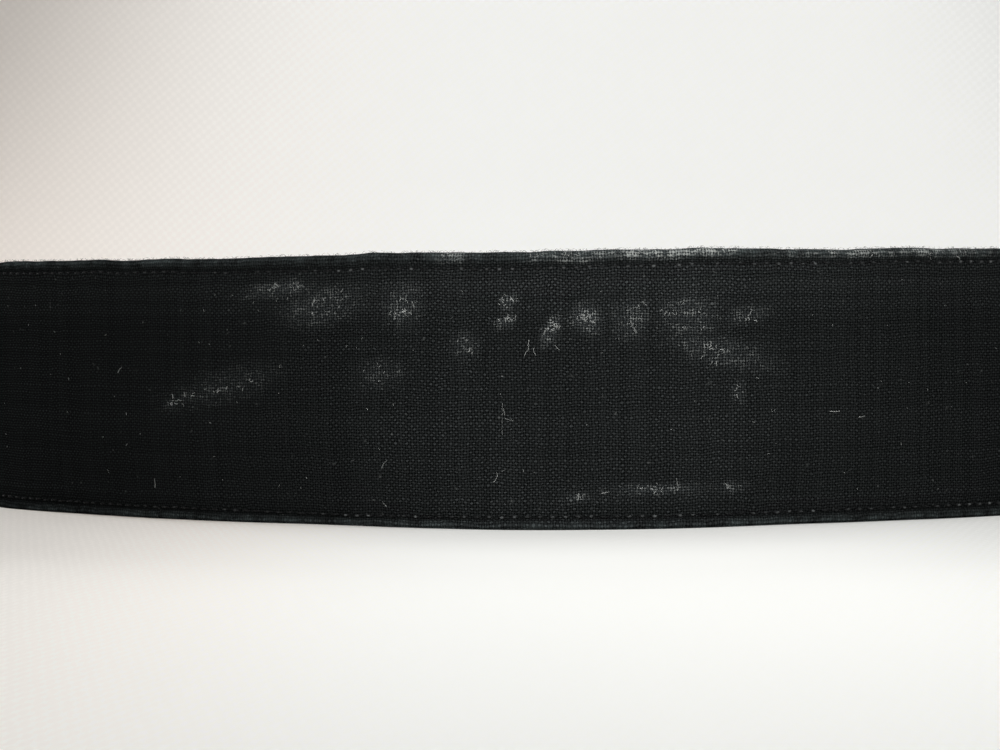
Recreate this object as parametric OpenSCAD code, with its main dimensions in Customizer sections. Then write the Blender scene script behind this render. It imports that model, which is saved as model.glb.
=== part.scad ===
// Cloth money belt. A stitched cloth band holds a long flat pocket, with a zip on its inner
// face. Webbing straps leave its two ends and carry the halves of a side-release buckle.
// The belt stands open in a ring, on its lower edge. The origin is the centre of the ring,
// on the surface it stands on, and +Z is up. All sizes are in millimetres.

/* [Lengths round the ring] */
// Length of the cloth band
band_len = 735; // [600:5:900]
// Length of the short strap, from the band's end to the socket's bar
short_strap_len = 40; // [34:1:60]
// Length of the long strap, from the band's end to the plug's bar
long_strap_len = 130; // [110:1:200]
// Open space between the two halves of the buckle
buckle_gap = 56; // [40:1:90]

/* [Band] */
// Height of the cloth band, which is the width of the belt
band_h = 50; // [44:1:70]
// Thickness of the band's cloth
cloth_t = 0.6; // [0.4:0.1:0.8]
// Outer radius of the fold along the outer cloth's edges
fold_r = 1.3; // [1.2:0.1:1.6]
// Height of the flat that the lower fold is pressed to where the belt stands
stand_flat = 0.3; // [0.2:0.1:0.3]
// Width of the hem that is turned in behind each fold
hem_w = 7; // [5:0.5:9]
// Distance of the edge stitching from the band's edges
stitch_inset = 2.5; // [2:0.1:3]
// Thickness of the stiff layer behind the outer cloth
interlining_t = 1; // [0.6:0.1:1.2]
// Thickness of the pocket's thin lining
lining_t = 0.3; // [0.2:0.1:0.5]
// Depth of the pocket, in which the webbing's ends are sewn too
pocket_t = 1.9; // [1.7:0.1:2.6]
// Air left between two layers of cloth
layer_gap = 0.05; // [0.05:0.01:0.1]

/* [Zip] */
// Length of the zip between its end stops
zip_len = 460; // [300:5:520]
// Height of the window in the inner cloth that shows the zip
window_h = 12; // [11:0.5:14]
// Thickness of the zip's tape
tape_t = 0.5; // [0.3:0.1:0.6]
// Height of each half of the tape
tape_h = 12; // [10:0.5:13]
// Thickness of the zip's coil
coil_t = 1.2; // [1:0.1:1.4]
// Height of each half of the coil
coil_h = 2.4; // [2:0.1:2.8]
// Gap between the halves of the coil, which the slider's post runs in
coil_gap = 1.2; // [1:0.1:1.4]
// Length of the slider along the zip
slider_len = 11; // [9:0.5:13]
// Thickness of the slider's plates
plate_t = 0.8; // [0.6:0.1:1]
// Running clearance round the slider
slider_clear = 0.3; // [0.3:0.05:0.35]
// Length of the pull tab
pull_len = 24; // [16:1:26]
// Radius of the pin that the pull tab swings on
pull_pin_r = 0.8; // [0.7:0.1:0.9]

/* [Webbing] */
// Width of the webbing
web_w = 25; // [20:1:30]
// Thickness of the webbing
web_t = 1.4; // [1.2:0.1:1.5]
// Gap between two plies of webbing that lie on each other
ply_gap = 0.2; // [0.1:0.05:0.3]
// Length of webbing that shows between the band and the place where it bends
tab_out = 5; // [4:0.5:8]
// Length of webbing that is sewn inside each end of the band
tab_in = 30; // [20:1:40]
// Open length where the webbing bends
flex_gap = 0.6; // [0.5:0.1:0.8]
// Length of the short strap's sewn-back end, from the socket's bar
short_tail_len = 26; // [22:1:28]
// Length of the long strap's free tail, from the plug's bar
long_tail_len = 84; // [70:1:95]
// Length of the hem at the tail's end
tail_hem = 8; // [6:1:12]
// Width of the elastic keeper
keeper_len = 12; // [8:1:15]
// Thickness of the elastic
keeper_t = 1; // [0.8:0.1:1.2]
// Clearance of the keeper round the strap
keeper_clear = 0.3; // [0.3:0.05:0.5]
// Distance of the keeper from the plug's bar
keeper_from_bar = 62; // [56:1:64]

/* [Buckle] */
// Radius of the bars that carry the webbing
bar_rod_r = 1.6; // [1.4:0.1:1.8]
// Running clearance of the webbing's loop on its bar
loop_clear = 0.1; // [0.05:0.01:0.1]
// Thickness of the cheeks beside the webbing
cheek_t = 3.2; // [2.8:0.1:4]
// Clearance between the webbing's edges and the cheeks
cheek_gap = 0.8; // [0.5:0.1:1]
// Thickness of the buckle
buckle_t = 9; // [8.8:0.1:10]
// Distance from a bar to the solid part of its buckle half
bar_room = 5; // [4.8:0.1:6]
// Wall of the socket behind its hollow
back_wall = 3; // [2:0.5:4]
// Wall of the socket over its mouth
mouth_wall = 1.6; // [1.4:0.1:1.8]
// Side wall of the socket
side_wall = 3.6; // [3:0.1:4]
// Length of the release windows in the socket's sides
window_len = 9; // [8:0.5:11]
// Distance from the mouth's rim to the windows
window_from_rim = 10; // [8:0.5:12]
// Length of the plug's shoulder
shoulder_len = 8; // [7:0.5:10]
// Width of each prong's arm
arm_w = 2.2; // [2:0.1:2.4]
// Length of each prong past its catch
tip_len = 2; // [1.5:0.5:3]
// Play of the prongs in the socket
prong_play = 0.4; // [0.3:0.1:0.6]
// Height that each prong's catch stands out
catch_h = 2.4; // [2:0.1:2.8]
// Clearance of each prong's round root in the shoulder
root_clear = 0.08; // [0.05:0.01:0.1]

/* [Hidden] */
$fn = 72;
overcut = 1;

// Depths count inwards from the ring's outer face, layer by layer.
hem_depth = 2 * fold_r;
core_depth = cloth_t + (hem_depth - 2 * cloth_t - interlining_t) / 2;
lining_depth = hem_depth + layer_gap;
pocket_depth = lining_depth + lining_t;
inner_depth = pocket_depth + pocket_t + layer_gap;
tape_depth = inner_depth - layer_gap - tape_t;
web_depth = pocket_depth + layer_gap;
inner_edge_depth = hem_depth + layer_gap;

// The ring's middle line runs in the middle of the webbing, and its length is all the
// pieces one after another.
arm_len = window_from_rim + window_len + tip_len;
mouth_past = 3;
mouth_len = arm_len + mouth_past;
socket_len = bar_room + back_wall + mouth_len;
shoulder_end = bar_room + shoulder_len;
plug_len = shoulder_end + arm_len;
mid_len = band_len + short_strap_len + socket_len + buckle_gap + plug_len + long_strap_len;
mid_r = mid_len / (2 * PI);
ring_r = mid_r + web_depth + web_t / 2;
mid_z = band_h / 2;
function turn(length) = length / mid_r * 180 / PI;

// Azimuths of what lies round the ring. The socket points along +X.
socket_az = 90;
left_end = socket_az + turn(short_strap_len);
right_end = left_end + turn(band_len);
plug_az = right_end + turn(long_strap_len);
band_mid = (left_end + right_end) / 2;
zip_start = band_mid - turn(zip_len / 2);
zip_end = band_mid + turn(zip_len / 2);
stop_len = 3;
stop_gap = 0.2;
stop_proud = 0.2;
tape_past = 6;
slider_margin = 1;
slider_room = slider_len / 2 + slider_margin;
slider_az = zip_end - turn(slider_room);
slider_travel = turn(zip_len - 2 * slider_room);

// Inner cloth: its edges lie on the folds, and it swells out over the pocket. The walls that
// close the band's ends stand inside it, with a slot for the webbing.
edge_z = 0.9;
edge_flat = 3.1;
edge_slope = 4;
wall_margin = 0.5;
slot_clear = 0.3;
core_side_gap = 1;
end_inset = 1.2;
window_end_gap = 1;

// Thread
thread_t = 0.25;
thread_gap = 0.05;
thread_w = 0.5;
zip_stitch_margin = 2;
box_stitch_len = 20;
box_stitch_h = 18;
box_stitch_in = 4;
strap_stitch_in = 2;
tail_stitch_in = 1.5;

// Slider and pull
coil_depth = inner_depth;
flange_z = coil_gap / 2 + coil_h + slider_clear;
flange_t = 0.8;
plate_depth = coil_depth + coil_t + slider_clear;
back_plate_depth = tape_depth - slider_clear - plate_t;
post_h = coil_gap - 2 * slider_clear;
post_len = 4;
eye_clear = 0.06;
eye_wall = 0.8;
eye_r = pull_pin_r + eye_clear;
pin_depth = plate_depth + plate_t + eye_r + eye_wall + slider_clear;
lug_gap = 4.4;
lug_t = 0.9;
lug_wall = 0.7;
eye_play = 0.4;
neck_len = 5;
neck_lap = 1;
hole_from_end = 3;
pull_w = 6;
pull_t = 1.2;
pull_hole_r = 1.4;
pull_corner_r = 2;

// Straps and loops
tail_shift = web_t + ply_gap;
bar_ring_r = mid_r + tail_shift / 2;
loop_r = bar_rod_r + loop_clear + web_t / 2;
loop_reach = 10;
ply_tuck = 0.05;
ply_lap = 0.3;
loop_az = turn(loop_reach);

// Buckle
buckle_w = web_w + 2 * (cheek_gap + cheek_t);
cheek_thick = 5.6;
cheek_lap = 1;
mouth_t = buckle_t - 2 * mouth_wall;
mouth_w = buckle_w - 2 * side_wall;
corner_r = 2.5;
prong_t = mouth_t - 2 * prong_play;
prong_z = mouth_w / 2 - prong_play - arm_w / 2;
root_r = arm_w / 2 + 0.2;
tip_lap = 1;
rib_w = 4;
rib_end_r = 1.99;
rib_lap = 2;
rib_short = 1;
catch_play = 0.3;
catch_x = window_from_rim + catch_play;
catch_len = window_len - 2 * catch_play;

// ---- Shapes used more than once ----

// Sweeps a profile, drawn as radius against height, from one azimuth to another.
module sweep(from, to) {
    rotate([0, 0, from])
        rotate_extrude(angle = to - from)
            children();
}

// A strip of the ring: how deep it lies, how thick it is, and its heights and azimuths.
module ring_strip(depth, thick, low, high, from, to) {
    sweep(from, to)
        translate([ring_r - depth - thick, low])
            square([thick, high - low]);
}

// Half a fold of cloth, open to the side that it folds back from.
module half_fold(up) {
    difference() {
        circle(r = fold_r);
        circle(r = fold_r - cloth_t);
        translate([-2 * fold_r, up ? -2 * fold_r : 0])
            square([4 * fold_r, 2 * fold_r]);
    }
}

// A plate with round corners, centred in height and thickness.
module round_plate(length, height, thick, r) {
    linear_extrude(height = thick, center = true)
        union() {
            translate([r, -height / 2])
                square([length - 2 * r, height]);
            translate([0, -height / 2 + r])
                square([length, height - 2 * r]);
            for (x = [r, length - r], y = [-1, 1])
                translate([x, y * (height / 2 - r)])
                    circle(r = r);
        }
}

// The same plate with its long edges rounded in side view too.
module pillow(length, height, thick, r) {
    intersection() {
        round_plate(length, height, thick, r);
        rotate([90, 0, 0])
            round_plate(length, thick, height, thick / 3);
        translate([length / 2, 0, 0])
            rotate([90, 0, 90])
                translate([-height / 2, 0, 0])
                    round_plate(height, thick, length, thick / 3);
    }
}

// The frames of the two straps: the bar stands at azimuth 0 and the strap lies behind it.
module at_plug() {
    rotate([0, 0, plug_az])
        children();
}

module at_socket() {
    rotate([0, 0, socket_az])
        mirror([0, 1, 0])
            children();
}

// The bench frame of a buckle half: X from the bar to the tip, Y up, Z outwards.
module on_bar() {
    translate([bar_ring_r, 0, mid_z])
        rotate([90, 0, 90])
            children();
}

// A straight ply of webbing from a point to where it meets the loop round the bar.
module loop_ply(shift, side) {
    r = mid_r + shift;
    start = [r * cos(loop_az) - bar_ring_r, -r * sin(loop_az)];
    reach = norm(start);
    meets = atan2(start[1], start[0]) + side * acos(loop_r / reach);
    finish = loop_r * [cos(meets), sin(meets)];
    way = finish - start;
    thick = web_t - 2 * ply_tuck;
    translate([bar_ring_r + start[0], start[1], mid_z])
        rotate([0, 0, atan2(way[1], way[0])])
            translate([-ply_lap, -thick / 2, ply_tuck - web_w / 2])
                cube([norm(way) + 2 * ply_lap, thick, web_w - 2 * ply_tuck]);
}

// Azimuth round the bar at which a ply meets the loop.
function meets_at(shift, side) =
    let (x = (mid_r + shift) * cos(loop_az) - bar_ring_r)
    let (y = -(mid_r + shift) * sin(loop_az))
    atan2(y, x) + side * acos(loop_r / norm([x, y]));

// A strap: main ply from its bend to the loop, the loop, and the ply that comes back.
module strap(length, tail) {
    web_low = mid_z - web_w / 2;
    from = -turn(length - tab_out - flex_gap / 2);
    loop_from = meets_at(tail_shift, 1);
    loop_to = meets_at(0, -1) + 360;
    union() {
        ring_strip(web_depth, web_t, web_low, web_low + web_w, from, -loop_az);
        ring_strip(web_depth - tail_shift, web_t, web_low, web_low + web_w, -turn(tail), -loop_az);
        loop_ply(0, -1);
        loop_ply(tail_shift, 1);
        translate([bar_ring_r, 0, web_low])
            rotate([0, 0, loop_from])
                rotate_extrude(angle = loop_to - loop_from)
                    translate([loop_r - web_t / 2, 0])
                        square([web_t, web_w]);
    }
}

// A box of thread lines on a face of the ring.
module thread_box(depth, height, from, to) {
    low = mid_z - height / 2;
    line = turn(thread_w);
    difference() {
        ring_strip(depth, thread_t, low, low + height, from, to);
        ring_strip(depth - overcut, thread_t + 2 * overcut, low + thread_w, low + height - thread_w,
            from + line, to - line);
    }
}

// ---- The band ----

module outer_cloth() {
    wall_low = edge_z + edge_flat + edge_slope + wall_margin;
    slot_low = mid_z - web_w / 2 - slot_clear;
    slot_high = mid_z + web_w / 2 + slot_clear;
    slot_turn = turn(overcut);
    color([0.07, 0.08, 0.09])
        difference() {
            union() {
                sweep(left_end, right_end)
                    difference() {
                        union() {
                            translate([ring_r - cloth_t, fold_r - stand_flat])
                                square([cloth_t, band_h - 2 * fold_r + stand_flat]);
                            translate([ring_r - fold_r, fold_r - stand_flat])
                                half_fold(false);
                            translate([ring_r - fold_r, band_h - fold_r])
                                half_fold(true);
                            translate([ring_r - hem_depth, fold_r - stand_flat])
                                square([cloth_t, hem_w]);
                            translate([ring_r - hem_depth, band_h - fold_r - hem_w])
                                square([cloth_t, hem_w]);
                        }
                        translate([ring_r - 3 * fold_r, -fold_r])
                            square([4 * fold_r, fold_r]);
                    }
                for (from = [left_end, right_end - turn(cloth_t)])
                    ring_strip(cloth_t / 2, inner_depth - layer_gap - cloth_t / 2, wall_low,
                        band_h - wall_low, from, from + turn(cloth_t));
            }
            for (end = [left_end, right_end])
                ring_strip(web_depth - slot_clear, web_t + 2 * slot_clear, slot_low, slot_high,
                    end - slot_turn, end + slot_turn);
        }
}

module interlining() {
    low = fold_r - stand_flat + core_side_gap - fold_r / 2;
    color([0.75, 0.75, 0.7])
        ring_strip(core_depth, interlining_t, low, band_h - fold_r - core_side_gap + fold_r / 2,
            left_end + turn(end_inset), right_end - turn(end_inset));
}

module pocket_lining() {
    low = edge_z + edge_flat + 2 * cloth_t;
    color([0.12, 0.12, 0.13])
        ring_strip(lining_depth, lining_t, low, band_h - low,
            left_end + turn(end_inset), right_end - turn(end_inset));
}

module inner_cloth() {
    knee = edge_z + edge_flat;
    full = knee + edge_slope;
    rim = inner_edge_depth;
    color([0.09, 0.1, 0.11])
        difference() {
            sweep(left_end, right_end)
                translate([ring_r, 0])
                    polygon([
                        [-rim, edge_z],
                        [-rim, knee],
                        [-rim - cloth_t, knee],
                        [-inner_depth, full],
                        [-inner_depth, band_h - full],
                        [-rim - cloth_t, band_h - knee],
                        [-rim, band_h - knee],
                        [-rim, band_h - edge_z],
                        [-rim - 2 * cloth_t, band_h - edge_z],
                        [-rim - 2 * cloth_t, band_h - knee],
                        [-inner_depth - cloth_t, band_h - full],
                        [-inner_depth - cloth_t, full],
                        [-rim - 2 * cloth_t, knee],
                        [-rim - 2 * cloth_t, edge_z]
                    ]);
            ring_strip(inner_depth - overcut, cloth_t + 2 * overcut, mid_z - window_h / 2, mid_z + window_h / 2,
                zip_start - turn(stop_len + window_end_gap), zip_end + turn(stop_len + window_end_gap));
        }
}

module edge_thread(height) {
    color([0.05, 0.05, 0.06])
        ring_strip(-thread_t - thread_gap, thread_t, height - thread_w / 2, height + thread_w / 2,
            left_end + turn(stitch_inset), right_end - turn(stitch_inset));
}

module topstitch_upper() {
    edge_thread(band_h - stitch_inset);
}

module topstitch_lower() {
    edge_thread(stitch_inset);
}

module zip_topstitch() {
    past = stop_len + window_end_gap + zip_stitch_margin;
    color([0.05, 0.05, 0.06])
        thread_box(inner_depth + cloth_t + thread_gap, window_h + 2 * zip_stitch_margin,
            zip_start - turn(past), zip_end + turn(past));
}

module box_stitch_left() {
    color([0.05, 0.05, 0.06])
        thread_box(-thread_t - thread_gap, box_stitch_h, left_end + turn(box_stitch_in),
            left_end + turn(box_stitch_in + box_stitch_len));
}

module box_stitch_right() {
    color([0.05, 0.05, 0.06])
        thread_box(-thread_t - thread_gap, box_stitch_h, right_end - turn(box_stitch_in + box_stitch_len),
            right_end - turn(box_stitch_in));
}

// Webbing sewn inside the band's end, up to where it bends.
module webbing_tab(from, to) {
    color([0.08, 0.08, 0.09])
        ring_strip(web_depth, web_t, mid_z - web_w / 2, mid_z + web_w / 2, from, to);
}

module webbing_tab_left() {
    webbing_tab(left_end - turn(tab_out - flex_gap / 2), left_end + turn(tab_in));
}

module webbing_tab_right() {
    webbing_tab(right_end - turn(tab_in), right_end + turn(tab_out - flex_gap / 2));
}

// ---- The zip ----

module zip_tape(low) {
    past = stop_len + tape_past;
    color([0.1, 0.1, 0.11])
        ring_strip(tape_depth, tape_t, low, low + tape_h,
            zip_start - turn(past), zip_end + turn(past));
}

module zip_tape_upper() {
    zip_tape(mid_z + coil_gap / 2);
}

module zip_tape_lower() {
    zip_tape(mid_z - coil_gap / 2 - tape_h);
}

module zip_coil(low) {
    color([0.13, 0.13, 0.14])
        ring_strip(coil_depth, coil_t, low, low + coil_h, zip_start, zip_end);
}

module zip_coil_upper() {
    zip_coil(mid_z + coil_gap / 2);
}

module zip_coil_lower() {
    zip_coil(mid_z - coil_gap / 2 - coil_h);
}

module zip_stop(from) {
    half = coil_gap / 2 + coil_h;
    color([0.35, 0.34, 0.32])
        ring_strip(coil_depth, coil_t + stop_proud, mid_z - half, mid_z + half,
            from, from + turn(stop_len - stop_gap));
}

module zip_start_stop() {
    zip_stop(zip_start - turn(stop_len));
}

module zip_end_stop() {
    zip_stop(zip_end + turn(stop_gap));
}

module slider_body() {
    half = slider_len / 2;
    from = slider_az - turn(half);
    to = slider_az + turn(half);
    pin_x = ring_r - pin_depth;
    lug_r = pull_pin_r + lug_wall;
    plate_x = ring_r - plate_depth - plate_t;
    color([0.2, 0.2, 0.2])
        union() {
            ring_strip(plate_depth, plate_t, mid_z - flange_z - flange_t,
                mid_z + flange_z + flange_t, from, to);
            for (low = [mid_z - flange_z - flange_t, mid_z + flange_z])
                ring_strip(inner_depth + slider_clear / 2, plate_depth + plate_t / 2 - inner_depth
                    - slider_clear / 2, low, low + flange_t, from, to);
            ring_strip(back_plate_depth, plate_t, mid_z - flange_z, mid_z + flange_z, from, to);
            ring_strip(back_plate_depth + plate_t / 2, plate_depth - back_plate_depth,
                mid_z - post_h / 2, mid_z + post_h / 2,
                slider_az - turn(post_len / 2), slider_az + turn(post_len / 2));
            rotate([0, 0, slider_az])
                union() {
                    translate([pin_x, 0, mid_z - lug_gap / 2 - lug_t])
                        cylinder(r = pull_pin_r, h = lug_gap + 2 * lug_t);
                    for (low = [mid_z - lug_gap / 2 - lug_t, mid_z + lug_gap / 2]) {
                        translate([pin_x, 0, low])
                            cylinder(r = lug_r, h = lug_t);
                        translate([pin_x, -lug_r, low])
                            cube([plate_x - pin_x + plate_t / 2, 2 * lug_r, lug_t]);
                    }
                }
        }
}

module pull_tab() {
    pin_x = ring_r - pin_depth;
    eye_h = lug_gap - eye_play;
    plate_from = neck_len - neck_lap;
    color([0.22, 0.22, 0.22])
        rotate([0, 0, slider_az])
            translate([pin_x, 0, mid_z])
                difference() {
                    union() {
                        cylinder(r = eye_r + eye_wall, h = eye_h, center = true);
                        translate([-pull_t / 2, -neck_len, -eye_h / 2])
                            cube([pull_t, neck_len, eye_h]);
                        translate([0, -plate_from, 0])
                            rotate([90, 0, -90])
                                round_plate(pull_len - plate_from, pull_w, pull_t, pull_corner_r);
                    }
                    cylinder(r = eye_r, h = eye_h + overcut, center = true);
                    translate([0, hole_from_end - pull_len, 0])
                        rotate([0, 90, 0])
                            cylinder(r = pull_hole_r, h = pull_t + overcut, center = true);
                }
}

// ---- The straps ----

module strap_short() {
    color([0.08, 0.08, 0.09])
        at_socket()
            strap(short_strap_len, short_tail_len);
}

module strap_short_stitch() {
    color([0.05, 0.05, 0.06])
        at_socket()
            thread_box(web_depth - tail_shift - thread_t - thread_gap, box_stitch_h,
                -turn(short_tail_len - strap_stitch_in), -turn(loop_reach + strap_stitch_in));
}

module strap_long() {
    color([0.08, 0.08, 0.09])
        at_plug()
            union() {
                strap(long_strap_len, long_tail_len);
                ring_strip(web_depth - tail_shift - web_t, 2 * web_t, mid_z - web_w / 2,
                    mid_z + web_w / 2, -turn(long_tail_len), -turn(long_tail_len - tail_hem));
            }
}

module tail_stitch() {
    color([0.05, 0.05, 0.06])
        at_plug()
            thread_box(web_depth - tail_shift - web_t - thread_t - thread_gap,
                web_w - 2 * tail_stitch_in,
                -turn(long_tail_len - tail_stitch_in),
                -turn(long_tail_len - tail_hem + tail_stitch_in));
}

module elastic_keeper() {
    inner_thick = tail_shift + web_t + 2 * keeper_clear;
    inner_h = web_w + 2 * keeper_clear;
    color([0.1, 0.1, 0.11])
        at_plug()
            sweep(-turn(keeper_from_bar + keeper_len / 2), -turn(keeper_from_bar - keeper_len / 2))
                translate([bar_ring_r - inner_thick / 2, mid_z - inner_h / 2])
                    difference() {
                        translate([-keeper_t, -keeper_t])
                            square([inner_thick + 2 * keeper_t, inner_h + 2 * keeper_t]);
                        square([inner_thick, inner_h]);
                    }
}

// ---- The buckle ----

// Bar and cheeks that carry the webbing, on either half of the buckle.
module bar_frame() {
    rotate([90, 0, 0])
        cylinder(r = bar_rod_r, h = web_w + 2 * cheek_gap + cheek_t, center = true);
    for (side = [-1, 1])
        translate([0, side * (web_w / 2 + cheek_gap + cheek_t / 2), 0])
            rotate([90, 0, 0])
                linear_extrude(height = cheek_t, center = true)
                    union() {
                        circle(r = cheek_thick / 2);
                        translate([0, -cheek_thick / 2])
                            square([bar_room + cheek_lap, cheek_thick]);
                    }
}

module buckle_socket() {
    mouth_x = bar_room + back_wall;
    window_x = socket_len - window_from_rim - window_len;
    color([0.06, 0.06, 0.06])
        at_socket()
            on_bar()
                difference() {
                    union() {
                        bar_frame();
                        translate([bar_room, 0, 0])
                            pillow(socket_len - bar_room, buckle_w, buckle_t, corner_r);
                    }
                    translate([mouth_x, -mouth_w / 2, -mouth_t / 2])
                        cube([mouth_len + overcut, mouth_w, mouth_t]);
                    translate([window_x, -buckle_w, -mouth_t / 2])
                        cube([window_len, 2 * buckle_w, mouth_t]);
                }
}

module buckle_plug() {
    rib_len = arm_len - rib_short;
    color([0.06, 0.06, 0.06])
        at_plug()
            on_bar()
                difference() {
                    union() {
                        bar_frame();
                        translate([bar_room, 0, 0])
                            pillow(shoulder_len, buckle_w, buckle_t, corner_r);
                        translate([shoulder_end - rib_lap, 0, 0])
                            round_plate(rib_len + rib_lap, rib_w, prong_t, rib_end_r);
                    }
                    for (side = [-1, 1])
                        translate([shoulder_end, side * prong_z, 0])
                            cylinder(r = root_r + root_clear, h = buckle_t + overcut, center = true);
                }
}

// One prong: a round root in the shoulder, a slim arm, and the catch near its tip.
module prong(side) {
    color([0.06, 0.06, 0.06])
        at_plug()
            on_bar()
                translate([shoulder_end, side * prong_z, 0])
                    union() {
                        cylinder(r = root_r, h = prong_t, center = true);
                        linear_extrude(height = prong_t, center = true)
                            scale([1, side])
                                union() {
                                    translate([0, -arm_w / 2])
                                        square([arm_len - tip_lap, arm_w]);
                                    polygon([
                                        [catch_x, -arm_w / 2],
                                        [catch_x, arm_w / 2 + catch_h],
                                        [catch_x + catch_len / 2, arm_w / 2 + catch_h],
                                        [catch_x + catch_len, arm_w / 2 + catch_h / 2],
                                        [arm_len, 0],
                                        [arm_len, -arm_w / 2]
                                    ]);
                                }
                    }
}

module prong_upper() {
    prong(1);
}

module prong_lower() {
    prong(-1);
}

outer_cloth();
interlining();
pocket_lining();
inner_cloth();
topstitch_upper();
topstitch_lower();
zip_topstitch();
box_stitch_left();
box_stitch_right();
zip_tape_upper();
zip_tape_lower();
zip_coil_upper();
zip_coil_lower();
zip_start_stop();
zip_end_stop();
slider_body();
pull_tab();
webbing_tab_left();
webbing_tab_right();
strap_short();
strap_short_stitch();
buckle_socket();
strap_long();
tail_stitch();
elastic_keeper();
buckle_plug();
prong_upper();
prong_lower();
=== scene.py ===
import bpy, math, random
import numpy as np
from mathutils import Matrix, Vector


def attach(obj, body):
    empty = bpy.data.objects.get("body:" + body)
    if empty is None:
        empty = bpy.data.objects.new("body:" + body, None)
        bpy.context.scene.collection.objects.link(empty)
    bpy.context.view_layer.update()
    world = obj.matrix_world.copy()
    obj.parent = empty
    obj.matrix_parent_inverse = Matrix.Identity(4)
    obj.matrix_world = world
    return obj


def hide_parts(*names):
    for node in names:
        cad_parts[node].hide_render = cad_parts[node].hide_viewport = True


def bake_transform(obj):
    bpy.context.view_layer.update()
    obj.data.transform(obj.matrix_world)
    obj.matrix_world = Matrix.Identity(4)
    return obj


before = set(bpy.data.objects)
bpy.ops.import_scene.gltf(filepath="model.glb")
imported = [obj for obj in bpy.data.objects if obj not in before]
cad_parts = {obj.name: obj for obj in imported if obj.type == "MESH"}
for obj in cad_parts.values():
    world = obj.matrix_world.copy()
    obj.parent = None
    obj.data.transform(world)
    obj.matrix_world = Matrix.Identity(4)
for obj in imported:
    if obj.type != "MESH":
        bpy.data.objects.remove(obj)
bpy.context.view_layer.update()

mm = 0.001
print("frame loaded")

# The flat pieces are bent round a ring. A place on the belt is written as
# (length round the ring from its front, depth inwards, height), in mm.
ring = {"radius": 167.152, "midRadius": 163.452, "height": 50.0, "leftEnd": 104.021, "rightEnd": 361.665,
        "plug": 407.235, "bar": 164.252}
middle = ring["height"] / 2
wave = {"depth": 0.28, "seed": 5, "wander": 0.45, "step": 21.0, "ripple": 0.22, "endFade": 25.0,
        "level": 5.0, "levelFade": 9.0, "faceDepth": 2.4}
# how far the upper and lower edges stand off their true heights, at lengths round from the front
edgeRise = {"at": (-131, -100, -76, -55, -43, -41, -38, -27, -18, 0, 18, 36, 56, 78),
            "upper": (-0.35, -0.55, -0.75, -0.65, -0.40, 0.02, -0.36, -0.34, -0.38, -0.18, 0.05, -0.22,
                      -0.08, -0.18),
            "lower": (0.05, 0.70, 0.85, 0.92, 0.70, 0.66, 0.60, 0.30, 0.10, 0.0, 0.20, 0.62, 0.46, 0.05),
            "free": (-150, 98)}
# most of the lower edge's rise is a lean: the cloth stays on the ground and moves in by this many times it
lean = {"share": 0.75, "reach": 4.2, "height": 18.0}


def alongRing(azimuth):
    return math.radians(azimuth - 270) * ring["radius"]


def polar(radius, angle):
    return np.stack([radius * np.cos(angle), radius * np.sin(angle)], -1)


def hump(x, at, reach):
    return np.exp(-((x - at) / reach) ** 2)


def eased(x):
    return x * x * (3 - 2 * x)


bandLeft, bandRight = alongRing(ring["leftEnd"]), alongRing(ring["rightEnd"])

random.seed(wave["seed"])
# length, start, slant and size of each slow wave
waveSpans = ((26, 95), (0, 6.28), (-0.05, 0.05), (0.4, 1.0))
waveParts = [[random.uniform(*span) for span in waveSpans] for part in range(7)]


def edgeLine(which):
    # the edge's line all round: the set heights in front, and a random wander elsewhere
    left = np.arange(bandLeft, edgeRise["free"][0], wave["step"])
    right = np.arange(edgeRise["free"][1], bandRight + wave["step"], wave["step"])
    spread = np.random.default_rng(wave["seed"] + len(which))
    sign = -1 if which == "upper" else 1
    drift = [sign * wave["wander"] * spread.random(len(side)) for side in (left, right)]
    fine = np.linspace(bandLeft, bandRight, 1600)
    smooth = np.interp(fine, np.concatenate([left, edgeRise["at"], right]),
                       np.concatenate([drift[0], edgeRise[which], drift[1]]))
    for n in range(3):
        smooth = np.convolve(np.pad(smooth, 3, "edge"), np.ones(7) / 7, "valid")
    ripple = np.convolve(spread.normal(0, wave["ripple"], len(fine)), np.ones(11) / 11, "same")
    return fine, smooth + (ripple if which == "upper" else 0)


edgeLines = {which: edgeLine(which) for which in ("upper", "lower")}


def clothWave(s, depth, z):
    # slow unevenness that every layer of the band shares
    out = np.zeros_like(s)
    for length, start, slant, size in waveParts:
        out += size * np.sin(6.283 * s / length + start + slant * z)
    fade = np.clip(np.minimum(s - bandLeft, bandRight - s) / wave["endFade"], 0, 1)
    low, high = np.interp(s, *edgeLines["lower"]), np.interp(s, *edgeLines["upper"])
    foot = np.clip(1 - z / lean["height"], 0, 1)
    crest = np.clip(1 - (ring["height"] - z) / lean["height"], 0, 1)
    lift = (1 - lean["share"]) * low * foot + high * crest
    push = wave["depth"] * out / 4
    # the zip's own height stays level, so that the slider runs; the face may only swell outwards there
    calm = eased(np.clip((np.abs(z - middle) - wave["level"]) / wave["levelFade"], 0, 1))
    push = push * calm + np.where(depth < wave["faceDepth"], np.minimum(push, 0), 0) * (1 - calm)
    push += lean["share"] * lean["reach"] * low * foot ** 1.5
    return push * fade, lift * fade


def readPoints(obj):
    co = np.empty(len(obj.data.vertices) * 3)
    obj.data.vertices.foreach_get("co", co)
    return co.reshape(-1, 3)


def writePoints(obj, co):
    obj.data.vertices.foreach_set("co", np.ascontiguousarray(co, dtype=np.float64).ravel())
    obj.data.update()


def bendRound(obj):
    # flat mm to the standing ring, in metres, with the band's unevenness
    s, depth, z = readPoints(obj).T
    push, lift = clothWave(s, depth, z)
    bent = polar(ring["radius"] - (depth + push), math.radians(270) + s / ring["radius"])
    writePoints(obj, np.column_stack([bent, z + lift]) * mm)
    return obj


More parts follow.
